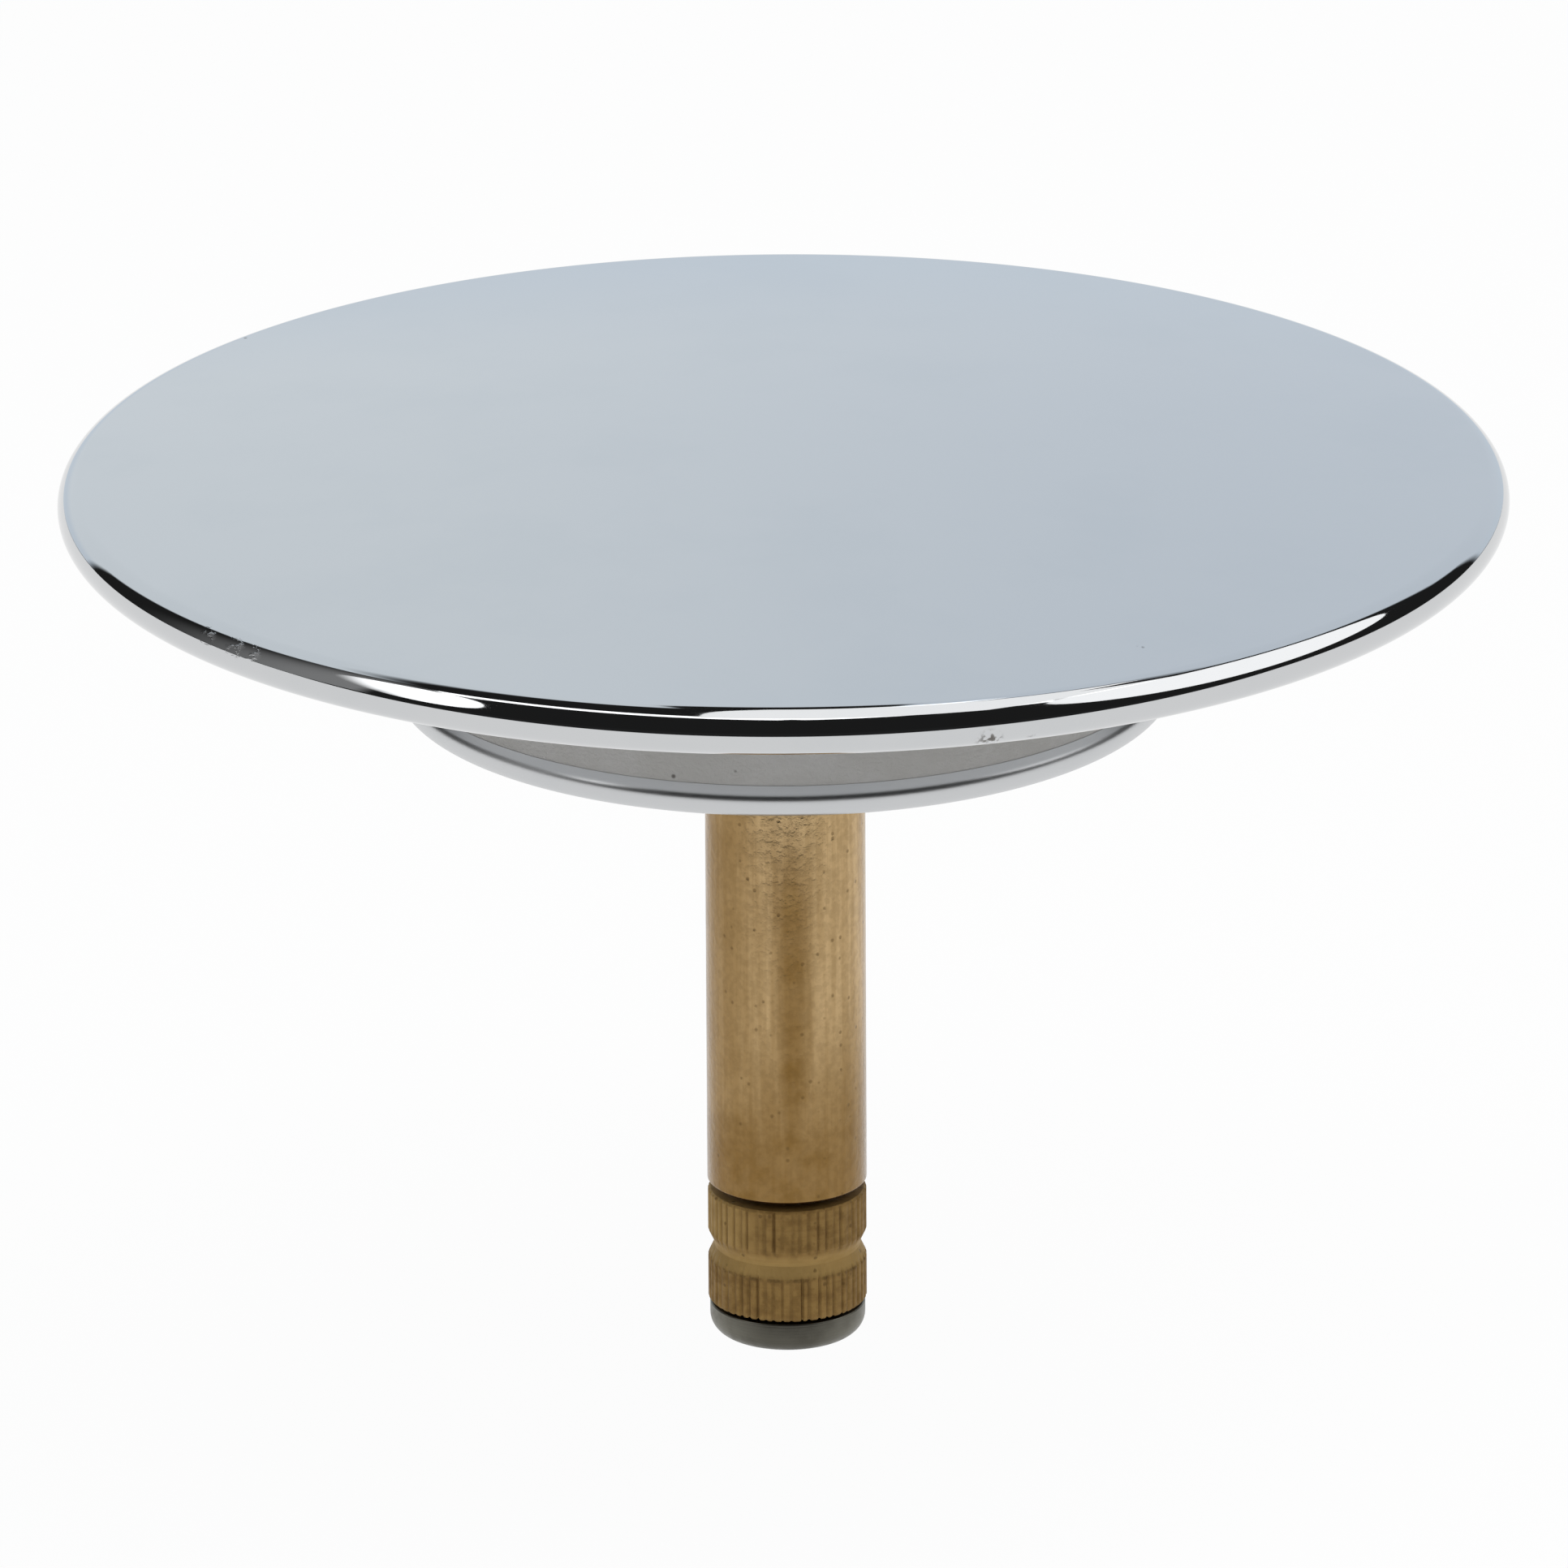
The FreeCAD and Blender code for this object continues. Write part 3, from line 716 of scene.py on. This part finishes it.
STEM_BRASS, tree, shader, place = new_finish("stem_brass", 1.0)
drawn = effect(tree, LINES, place, Stretch=(2.4, 2.4, 0.10), Low=0.36, High=0.66)
patches = effect(tree, FILM, place, Scale=0.45, Low=0.40, High=0.66)
mottle = effect(tree, FILM, place, Scale=2.6, Low=0.38, High=0.64)
axes = split(tree, place)
crowd = step(tree, axes["Z"], *CROWD_RISE, 0.12, 0.34)
dots = effect(tree, SPECKS, place, Scale=2.6, Size=0.34, Share=crowd)
# Painted shade: a dark streak down the front and back at X = 0.35 mm, fading out towards the top.
beside = maths(tree, "ABSOLUTE", maths(tree, "SUBTRACT", axes["X"], STREAK_PLACE))
painted_streak = step(tree, beside, *STREAK_WIDTH, 0.88, 0.0)
painted_streak = maths(tree, "MULTIPLY", painted_streak, step(tree, axes["Z"], *STREAK_TOP, 1.0, 0.0))
# Painted shade: the left side, and the stem towards its foot, are darker.
shady = step(tree, axes["X"], *SHADY_SIDE, 0.62, 0.0)
foot = step(tree, axes["Z"], *FOOT_RISE, 0.90, 0.0)
# All of this painted shade is laid in the patina's colour and broken up by the patches.
brown = maths(tree, "MAXIMUM", maths(tree, "MAXIMUM", painted_streak, shady), foot)
brown = maths(tree, "MULTIPLY", brown, maths(tree, "MULTIPLY_ADD", patches, 0.18, 0.86))
aged = stain(tree, drawn, 0.30, BRASS_COLOUR, PATINA_AND_SHADE_COLOUR)
aged = tint(tree, brown, aged, PATINA_AND_SHADE_COLOUR)
aged = stain(tree, mottle, 0.20, aged, TARNISH_COLOUR)
aged = stain(tree, dots, 0.55, aged, TARNISH_COLOUR)
# Painted light: the top of the stem, front and back, is made lighter below the collar.
light_under_collar = step(tree, axes["Z"], *PAINTED_LIGHT_RISE, 0.0, 0.5)
painted_light = maths(tree, "MULTIPLY", light_under_collar, step(tree, beside, *PAINTED_LIGHT_WIDTH, 1.0, 0.0))
feed(tree, shader.inputs["Base Color"], tint(tree, painted_light, aged, PAINTED_LIGHT_BRASS))
for title, value in (("Sheen Weight", 0.2), ("Sheen Roughness", 0.25), ("Sheen Tint", DULL_SHEEN)):
    shader.inputs[title].default_value = value
feed(tree, shader.inputs["Roughness"], maths(tree, "MULTIPLY_ADD", patches, 0.05, 0.18))
rough_up(tree, shader, maths(tree, "SUBTRACT", mottle, dots), 0.006)
print("finish:", STEM_BRASS.name)

# %% [markdown]
# ### Brass of the lock nut
# The nut is the same brass, cut and knurled. Its patina is thicker, so it is only partly a metal to the
# eye. Fingers and pliers keep the tops of the teeth bright, while the gaps between them hold brown dirt.
# The nut's tree stores how deep each point lies, and that is the mask. The groove, most of all its upward
# flank, and the left side of the upper band are painted lighter, as painted highlight. The top edge of the
# lower band is darker.

# %% Nut brass
KNURL_BRASS = (0.32, 0.196, 0.064, 1.0)
KNURL_SHADE = (0.24, 0.140, 0.043, 1.0)
KNURL_MOTTLE = (0.17, 0.095, 0.028, 1.0)
HIGHLIGHT_BRASS = (0.44, 0.290, 0.105, 1.0)
GROOVE_LEVEL = -29.4
GROOVE_WIDTH = (0.35, 0.75)
EDGE_LEVEL = -30.04
EDGE_WIDTH = (0.03, 0.13)
HIGHLIGHT_SIDE = (-3.2, -0.8)
HIGHLIGHT_RISE = (-29.0, -28.2)

NUT_BRASS, tree, shader, place = new_finish("nut_brass", 0.55)
hollow = carried(tree, "hollow")
turned_lines = effect(tree, LINES, place, Stretch=(0.25, 0.25, 5.0), Low=0.38, High=0.66)
mottle = effect(tree, FILM, place, Scale=1.6, Low=0.38, High=0.66)
dots = effect(tree, SPECKS, place, Scale=2.2, Size=0.32, Share=0.16)
aged = stain(tree, turned_lines, 0.35, KNURL_BRASS, KNURL_SHADE)
aged = stain(tree, mottle, 0.45, aged, KNURL_MOTTLE)
axes = split(tree, place)
level = axes["Z"]
# Painted highlight: lighter brass in the groove, most on its upward flank, and on the upper band's left
# side.
in_groove = maths(tree, "ABSOLUTE", maths(tree, "SUBTRACT", level, GROOVE_LEVEL))
left_highlight = step(tree, axes["X"], *HIGHLIGHT_SIDE, 0.7, 0.0)
left_highlight = maths(tree, "MULTIPLY", left_highlight, step(tree, level, *HIGHLIGHT_RISE))
bright = maths(tree, "MAXIMUM", step(tree, in_groove, *GROOVE_WIDTH, 0.8, 0.0), left_highlight)
aged = tint(tree, bright, aged, HIGHLIGHT_BRASS)
# A darker line along the top edge of the lower band.
at_edge = maths(tree, "ABSOLUTE", maths(tree, "SUBTRACT", level, EDGE_LEVEL))
edge_dark_line = maths(tree, "MULTIPLY", step(tree, at_edge, *EDGE_WIDTH, 0.75, 0.0), mottle)
dirt_and_dark_line = maths(tree, "MAXIMUM", maths(tree, "MULTIPLY", hollow, 0.45), maths(tree, "MULTIPLY", dots, 0.6))
dirt_and_dark_line = maths(tree, "MAXIMUM", dirt_and_dark_line, edge_dark_line)
feed(tree, shader.inputs["Base Color"], tint(tree, dirt_and_dark_line, aged, TARNISH_COLOUR))
shader.inputs["Specular IOR Level"].default_value = 0.2
feed(tree, shader.inputs["Roughness"], maths(tree, "MULTIPLY_ADD", mottle, 0.10, 0.54))
rough_up(tree, shader, maths(tree, "SUBTRACT", mottle, dots), 0.012)
print("finish:", NUT_BRASS.name)

# %% [markdown]
# ### Steel of the screw
# The screw is plain steel, turned on a lathe, so its head has fine rings round the axis. Rings are lines on
# a plane of distance from the axis and height. Oil has gone dark in the thread and in the socket. A band
# down the middle of the head, front and back, is darkened as painted shade.

# %% Screw steel
STEEL_COLOUR = (0.19, 0.184, 0.152, 1.0)
RING_COLOUR = (0.12, 0.117, 0.10, 1.0)
HAZE_COLOUR = (0.13, 0.122, 0.098, 1.0)
RUST_COLOUR = (0.16, 0.11, 0.06, 1.0)
OIL_AND_SHADE_COLOUR = (0.06, 0.055, 0.045, 1.0)
SHADE_BAND_WIDTH = (0.8, 3.6)

STEEL, tree, shader, place = new_finish("screw_steel", 1.0)
axes = split(tree, place)
across = add(tree, "ShaderNodeCombineXYZ", X=axes["X"], Y=axes["Y"]).outputs[0]
radius = add(tree, "ShaderNodeVectorMath", {"operation": "LENGTH"}, Vector=across).outputs["Value"]
lathe = add(tree, "ShaderNodeCombineXYZ", X=radius, Z=axes["Z"]).outputs[0]
rings = effect(tree, LINES, lathe, Stretch=(7.0, 1.0, 7.0), Low=0.34, High=0.68)
film = effect(tree, FILM, place, Scale=0.8, Low=0.40, High=0.66)
rust = effect(tree, SPECKS, place, Scale=2.4, Size=0.3, Share=0.08)
aged = stain(tree, rings, 0.35, STEEL_COLOUR, RING_COLOUR)
aged = stain(tree, film, 0.35, aged, HAZE_COLOUR)
aged = stain(tree, rust, 0.6, aged, RUST_COLOUR)
# Painted shade: a darker band down the middle of the head, front and back.
painted_middle_shade = step(tree, maths(tree, "ABSOLUTE", axes["X"]), *SHADE_BAND_WIDTH, 0.66, 0.0)
oil_and_shade = maths(tree, "MAXIMUM", maths(tree, "MULTIPLY", carried(tree, "hollow"), 0.7), painted_middle_shade)
feed(tree, shader.inputs["Base Color"], tint(tree, oil_and_shade, aged, OIL_AND_SHADE_COLOUR))
feed(tree, shader.inputs["Roughness"], maths(tree, "MULTIPLY_ADD", film, 0.10, 0.34))
rough_up(tree, shader, rings, 0.006)
print("finish:", STEEL.name)

# %% [markdown]
# ## The cap
# The cap is a shallow dome, only 2 mm higher in the middle, that rolls over into a full round rim. Below it
# are the seat of the seal and a neck with a tapped hole. A mirror shows each flat facet as a step, so the
# line crowds its points towards the rim and goes round in one-degree steps.

# %% Cap
CAP_RADIUS = 36.0
RIM_ROUND = 1.2
CROWN = 13.35
RIM_LEVEL = 10.15
NECK_RADIUS = 8.0
NECK_FILLET = 2.5
NECK_FOOT = 1.7
SEAL_INNER = 12.5
SEAL_OUTER = 23.0
SEAL_ROOF = 10.85
SEAT_PLAY = 0.05
BORE = 3.05
BORE_DEPTH = 8.2
THREAD_MOUTH = 0.5
DRILL_POINT = 0.6
EDGE = 0.08
UNDERSIDE_POLISH = 0.2


def drilled_line(foot, radius, depth):
    """A blind hole from its chamfered mouth up to the point that the drill leaves."""
    return [
        (radius + THREAD_MOUTH, foot),
        (radius, foot + THREAD_MOUTH),
        (radius, foot + depth),
        (0.0, foot + depth + DRILL_POINT * radius),
    ]


def cap_top():
    """The dome's circle, and the line over the dome and round the rim."""
    rim = (CAP_RADIUS - RIM_ROUND, RIM_LEVEL)
    sink = CROWN - RIM_LEVEL
    dome = (rim[0] ** 2 + sink ** 2 - RIM_ROUND ** 2) / (2 * (sink - RIM_ROUND))
    centre = (0.0, CROWN - dome)
    lean = math.degrees(math.asin(rim[0] / (dome - RIM_ROUND)))
    line = arc(centre, dome, 90.0, 90.0 - lean, 30, 2.0)
    line += arc(rim, RIM_ROUND, 90.0 - lean, -90.0 - lean, 44)[1:]
    return centre, dome - 2 * RIM_ROUND, lean, line


def cap_under(centre, under, lean):
    """The hollow underside with the seal's seat, the neck and its tapped hole."""
    def bearing(radius):
        return math.degrees(math.acos(radius / under))

    line = arc(centre, under, 90.0 - lean, bearing(SEAL_OUTER + SEAT_PLAY), 12)[1:]
    line += [(SEAL_OUTER + SEAT_PLAY, SEAL_ROOF), (SEAL_INNER - SEAT_PLAY, SEAL_ROOF)]
    away = under - NECK_FILLET
    turn = math.degrees(math.acos((NECK_RADIUS + NECK_FILLET) / away))
    blend = (NECK_RADIUS + NECK_FILLET, centre[1] + away * math.sin(math.radians(turn)))
    line += arc(centre, under, bearing(SEAL_INNER - SEAT_PLAY), turn, 12)
    line += arc(blend, NECK_FILLET, turn, 180.0, 16)[1:]
    hole = drilled_line(NECK_FOOT, BORE, BORE_DEPTH)
    return line + rounded([line[-1], (NECK_RADIUS, NECK_FOOT), hole[0]], EDGE)[1:] + hole[1:]


*dome, top = cap_top()
under = cap_under(*dome)
polish = [1.0] * len(top) + [UNDERSIDE_POLISH] * len(under)
make_piece("cap_chrome", "cap", "stopper", "chrome_plate", top + under, TURNED, CHROME, 360,
           {"polish": polish})

# %% [markdown]
# ## The seal
# The seal is a thick ring of warm grey rubber, held between the cap and the collar. Its plain wall shows in
# the gap between the two. Higher up it widens into the lip that closes the drain, which the cap hides in the
# photograph. A soft moulded corner is a small arc in the half section, like a turned edge on metal.

# %% Seal ring
SEAL_WALL = 19.12
SEAL_FOOT = 1.7
LIP_FOOT = 7.85
LIP_FILLET = 1.0
LIP_ROUND = 0.5


def seal_section():
    """The wall that stands on the collar, the fillet under the lip, and the rounded lip."""
    line = [(SEAL_INNER, SEAL_FOOT), (SEAL_WALL, SEAL_FOOT)]
    line += arc((SEAL_WALL + LIP_FILLET, LIP_FOOT - LIP_FILLET), LIP_FILLET, 180.0, 90.0, 12)
    line += arc((SEAL_OUTER - LIP_ROUND, LIP_FOOT + LIP_ROUND), LIP_ROUND, -90.0, 0.0, 8)
    return line + [(SEAL_OUTER, SEAL_ROOF), (SEAL_INNER, SEAL_ROOF), (SEAL_INNER, SEAL_FOOT)]


make_piece("seal_rubber_ring", "seal_ring", "stopper", "seal_rubber", seal_section(), TURNED,
           RUBBER, 192)

# %% [markdown]
# ## The collar
# The collar is a flat plate clamped between the cap's neck and the stem's shoulder. Its edge is rolled round
# like the rim of a coin, with a small bevel above, and the seal stands on it. Edge and bevel are what shows,
# so they get most of the points. The bevel mirrors the cap's underside, which makes it blue-grey.

# %% Collar
COLLAR_RADIUS = 19.5
COLLAR_EDGE = 0.95
COLLAR_TOP = 1.7
BEVEL_FOOT = 1.22
BEVEL_IN = 0.35
BEVEL_ROUND = 0.80
COLLAR_HOLE = 3.2
COLLAR_POLISH = 0.12


def collar_section():
    """Flat below, a round edge, a bevel above it, and flat under the seal."""
    line = [(COLLAR_HOLE, COLLAR_TOP), (COLLAR_HOLE, 0.0)]
    line += arc((COLLAR_RADIUS - COLLAR_EDGE, COLLAR_EDGE), COLLAR_EDGE, -90.0, 0.0, 28)
    bevel = [line[-1], (COLLAR_RADIUS, BEVEL_FOOT), (COLLAR_RADIUS - BEVEL_IN, COLLAR_TOP), line[0]]
    return line + rounded(bevel[:3], BEVEL_ROUND, 12)[1:] + bevel[3:]


section = collar_section()
make_piece("collar_chrome", "collar", "stopper", "chrome_plate", section, TURNED, CHROME, 300,
           {"polish": [COLLAR_POLISH] * len(section)})

# %% [markdown]
# ## The stem
# The stem is a plain rod. Its spigot screws into the cap's neck, and its foot has a tapped hole for the
# adjusting screw. Only the rod and the chamfer at its foot show.

# %% Stem
STEM_RADIUS = 4.0
STEM_FOOT = -25.95
STEM_CHAMFER = 0.14
SPIGOT_RADIUS = 3.0
SPIGOT_TOP = 9.2
TAP = 2.05
TAP_DEPTH = 14.25


def stem_section():
    """Spigot, shoulder, rod, chamfered foot and tapped hole."""
    hole = drilled_line(STEM_FOOT, TAP, TAP_DEPTH)
    outside = [
        (0.0, SPIGOT_TOP),
        (SPIGOT_RADIUS - THREAD_MOUTH, SPIGOT_TOP),
        (SPIGOT_RADIUS, SPIGOT_TOP - THREAD_MOUTH),
        (SPIGOT_RADIUS, 0.0),
        (STEM_RADIUS, 0.0),
        (STEM_RADIUS, STEM_FOOT + STEM_CHAMFER),
        (STEM_RADIUS - STEM_CHAMFER, STEM_FOOT),
        hole[0],
    ]
    return rounded(outside, EDGE) + hole[1:]


make_piece("stem_rod", "stem", "stopper", "stem_brass", stem_section(), TURNED, STEM_BRASS, 144)

# %% [markdown]
# ## The lock nut
# Two knurled bands with a groove between them give the fingers a grip. The knurl is coarse and worn: its
# gaps differ in depth and width, and some are nearly gone. Teeth could be cut one by one with booleans, but
# it is a rule, so the tree takes the spun grid and sinks it at each gap, by a random share with a fixed
# seed. Taking the smaller of the section's radius and the tooth's keeps the groove and the chamfers, and
# lets the gaps run out through the lower edge in small scallops.

# %% Tree: a knurled nut
GAP_SHIFT = 0.14
GAP_WIDTHS = (0.7, 1.2)
GAP_DEPTHS = (0.35, 1.0)


def random_share(tree, low, high, number, seed):
    """A random value for each number, the same on each run."""
    node = add(tree, "FunctionNodeRandomValue", {"data_type": "FLOAT"})
    for place, value in ((2, low), (3, high), (7, number), (8, seed)):
        feed(tree, node.inputs[place], value)
    return node.outputs[1]


def knurled_tree():
    """The spun grid with worn gaps sunk into its outer bands; stores how deep each point lies."""
    tree, given, out = new_group(
        "knurled_nut", "GeometryNodeTree",
        LATHE_INPUTS + [("Teeth", "Int", 54), ("Band Radius", "Float"), ("Middle", "Float"),
                        ("Depth", "Float"), ("Gap", "Float"), ("Foot", "Float"), ("Edge", "Float"),
                        ("Seed", "Int", 3)],
        PIECE_OUTPUT,
    )
    spun = spin(tree, given)
    count = maths(tree, "DIVIDE", maths(tree, "MULTIPLY", spun["Turn"], given["Teeth"]), math.tau)
    nearest = maths(tree, "ROUND", count)
    upper = maths(tree, "GREATER_THAN", spun["Height"], given["Middle"])
    number = maths(tree, "MULTIPLY_ADD", upper, given["Teeth"],
                   maths(tree, "FLOORED_MODULO", nearest, given["Teeth"]))
    pitch = maths(tree, "DIVIDE", maths(tree, "MULTIPLY", given["Band Radius"], math.tau), given["Teeth"])
    shift = random_share(tree, -GAP_SHIFT, GAP_SHIFT, number, given["Seed"])
    away = maths(tree, "ABSOLUTE", maths(tree, "SUBTRACT", maths(tree, "SUBTRACT", count, nearest), shift))
    half_gap = maths(tree, "MULTIPLY", maths(tree, "MULTIPLY", given["Gap"], 0.5),
                     random_share(tree, *GAP_WIDTHS, number, maths(tree, "ADD", given["Seed"], 1.0)))
    reach = maths(tree, "DIVIDE", maths(tree, "MULTIPLY", away, pitch), half_gap)
    sunk = maths(tree, "MULTIPLY", step(tree, reach, 0.0, 1.0, 1.0, 0.0),
                 random_share(tree, *GAP_DEPTHS, number, maths(tree, "ADD", given["Seed"], 2.0)))
    cut = maths(tree, "MULTIPLY", sunk, given["Depth"])
    radius = maths(tree, "MINIMUM", spun["Radius"], maths(tree, "SUBTRACT", given["Band Radius"], cut))
    root = maths(tree, "SUBTRACT", given["Band Radius"], given["Depth"])
    on_band = step(tree, spun["Radius"], root, given["Band Radius"])
    above_foot = maths(tree, "SUBTRACT", spun["Height"], given["Foot"])
    outside = step(tree, spun["Radius"], maths(tree, "SUBTRACT", root, given["Edge"]), root)
    at_edge = maths(tree, "MULTIPLY", step(tree, above_foot, 0.0, given["Edge"], 1.0, 0.0), outside)
    lifted = maths(tree, "MULTIPLY_ADD", cut, at_edge, spun["Height"])
    hollow = maths(tree, "MULTIPLY", sunk, on_band)
    return finish_tree(tree, given, out, spun, radius, "hollow", hollow, lifted)


KNURLED = knurled_tree()
print("tree:", KNURLED.name, "with", len(KNURLED.nodes), "nodes")

# %% Lock nut
NUT_TOP = -26.35
NUT_FOOT = -32.25
NUT_RADIUS = 3.98
UPPER_BAND = 2.18
LOWER_BAND = 2.24
GROOVE_DEPTH = 0.30
GROOVE_ROOT = 0.20
TEETH = 54
TOOTH_DEPTH = 0.12
TOOTH_GAP = 0.30
FOOT_EDGE = 0.5
NUT_EDGE = 0.04
STEPS_PER_TOOTH = 12


def crossing(line, radius):
    """The line with a point added wherever it crosses a radius, so that the gaps between teeth end there."""
    points = line[:1]
    for before, after in zip(line, line[1:]):
        if (before[0] - radius) * (after[0] - radius) < 0:
            share = (radius - before[0]) / (after[0] - before[0])
            points.append((radius, before[1] + (after[1] - before[1]) * share))
        points.append(after)
    return points


def nut_section():
    """Bore, chamfered mouths, two bands and the groove between them."""
    groove_top = NUT_TOP - UPPER_BAND
    groove_foot = NUT_FOOT + LOWER_BAND
    middle = (groove_top + groove_foot) / 2
    valley = NUT_RADIUS - GROOVE_DEPTH
    outside = [
        (TAP, NUT_TOP - TOOTH_DEPTH),
        (TAP + TOOTH_DEPTH, NUT_TOP),
        (NUT_RADIUS - TOOTH_DEPTH, NUT_TOP),
        (NUT_RADIUS, NUT_TOP - TOOTH_DEPTH),
        (NUT_RADIUS, groove_top),
        (valley, middle + GROOVE_ROOT / 2),
        (valley, middle - GROOVE_ROOT / 2),
        (NUT_RADIUS, groove_foot),
        (NUT_RADIUS, NUT_FOOT + TOOTH_DEPTH),
        (NUT_RADIUS - TOOTH_DEPTH, NUT_FOOT),
        (TAP + TOOTH_DEPTH, NUT_FOOT),
        (TAP, NUT_FOOT + TOOTH_DEPTH),
    ]
    line = crossing(rounded(outside, NUT_EDGE, 3), NUT_RADIUS - TOOTH_DEPTH)
    return line + outside[:1], middle


section, middle = nut_section()
make_piece("lock_nut_knurled", "lock_nut", "lock_nut", "nut_brass", section, KNURLED, NUT_BRASS,
           TEETH * STEPS_PER_TOOTH, Teeth=TEETH, Band_Radius=NUT_RADIUS * MM, Middle=middle * MM,
           Depth=TOOTH_DEPTH * MM, Gap=TOOTH_GAP * MM, Foot=NUT_FOOT * MM, Edge=FOOT_EDGE * MM,
           Seed=3)

# %% [markdown]
# ## The adjusting screw
# The screw has a low head with a rounded edge, a hexagon socket and an M4 thread. At rest the nut and the
# stem hide the thread, but it shows when the screw is turned out. A thread is one rule: the height of a
# crest grows by one pitch a turn. So is the socket: a hexagon's radius is its half width over a cosine. Two
# marks on the half section, thread and socket, say where each rule holds.

# %% Tree: a threaded screw with a socket
CREST_END = 1 / 16
ROOT_START = 3 / 8


def screw_tree():
    """The spun grid with a right-hand thread and a hexagon socket; stores how deep each point lies."""
    tree, given, out = new_group(
        "socket_screw", "GeometryNodeTree",
        LATHE_INPUTS + [("Shank", "Float"), ("Pitch", "Float"), ("Depth", "Float")],
        PIECE_OUTPUT,
    )
    spun = spin(tree, given)
    threaded = mark(tree, given, spun, "thread")
    socket = mark(tree, given, spun, "socket")
    turns = maths(tree, "SUBTRACT", maths(tree, "DIVIDE", spun["Height"], given["Pitch"]),
                  maths(tree, "DIVIDE", spun["Turn"], math.tau))
    part_turn = maths(tree, "FLOORED_MODULO", turns, 1.0)
    from_crest = maths(tree, "ABSOLUTE", maths(tree, "SUBTRACT", part_turn, 0.5))
    flank = add(tree, "ShaderNodeMapRange", {"interpolation_type": "LINEAR"})
    for slot, value in zip(flank.inputs, (from_crest, CREST_END, ROOT_START, 0.0, 1.0)):
        feed(tree, slot, value)
    sunk = maths(tree, "MULTIPLY", flank.outputs[0], threaded)
    short = maths(tree, "MAXIMUM", maths(tree, "SUBTRACT", given["Shank"], spun["Radius"]), 0.0)
    cut = maths(tree, "SUBTRACT", maths(tree, "MULTIPLY", sunk, given["Depth"]), short)
    turned_radius = maths(tree, "SUBTRACT", spun["Radius"], maths(tree, "MAXIMUM", cut, 0.0))
    sixth = maths(tree, "SUBTRACT", maths(tree, "FLOORED_MODULO", spun["Turn"], math.pi / 3), math.pi / 6)
    corner = maths(tree, "SUBTRACT", maths(tree, "DIVIDE", 1.0, maths(tree, "COSINE", sixth)), 1.0)
    radius = maths(tree, "MULTIPLY", turned_radius, maths(tree, "MULTIPLY_ADD", socket, corner, 1.0))
    return finish_tree(tree, given, out, spun, radius, "hollow", maths(tree, "MAXIMUM", sunk, socket))


SCREW = screw_tree()
print("tree:", SCREW.name, "with", len(SCREW.nodes), "nodes")

# %% Adjusting screw
SHANK = 2.0
SCREW_TIP = -12.40
HEAD_TOP = -32.40
HEAD_FOOT = -34.05
HEAD_RADIUS = 3.9
HEAD_ROUND = 1.0
SOCKET_HALF = 1.25
SOCKET_DEPTH = 1.0
PITCH = 0.7
THREAD_DEPTH = 0.43
ROWS_PER_PITCH = 12
RUN_OUT = 1.0
PLAIN_NECK = 0.3


def screw_section():
    """Tip, shank in fine rows, head with its rounded edge, and socket; with the two marks along it."""
    line = [(0.0, SCREW_TIP), (SHANK - THREAD_MOUTH, SCREW_TIP)]
    thread = [0.0, 1.0]
    rows = round((SCREW_TIP - HEAD_TOP) / PITCH * ROWS_PER_PITCH)
    for number in range(1, rows):
        height = SCREW_TIP + (HEAD_TOP - SCREW_TIP) * number / rows
        line.append((min(SHANK, SHANK - THREAD_MOUTH + SCREW_TIP - height), height))
        thread.append(min(1.0, max(0.0, (height - HEAD_TOP - PLAIN_NECK) / RUN_OUT)))
    centre = (HEAD_RADIUS - HEAD_ROUND, HEAD_FOOT + HEAD_ROUND)
    head = rounded([(SHANK, HEAD_TOP), (HEAD_RADIUS, HEAD_TOP), (HEAD_RADIUS, centre[1])], EDGE)
    head += arc(centre, HEAD_ROUND, 0.0, -90.0, 16)[1:]
    mouth = SOCKET_HALF + EDGE
    hole = [(mouth, HEAD_FOOT), (SOCKET_HALF, HEAD_FOOT + EDGE), (SOCKET_HALF, HEAD_FOOT + SOCKET_DEPTH)]
    tail = [(0.0, HEAD_FOOT + SOCKET_DEPTH)]
    marks = {
        "thread": thread + [0.0] * len(head + hole + tail),
        "socket": [0.0] * len(line + head) + [1.0] * len(hole) + [0.0] * len(tail),
    }
    return line + head + hole + tail, marks


section, marks = screw_section()
make_piece("adjusting_screw_turned", "adjusting_screw", "adjusting_screw", "screw_steel", section,
           SCREW, STEEL, 96, marks, Shank=SHANK * MM, Pitch=PITCH * MM, Depth=THREAD_DEPTH * MM)
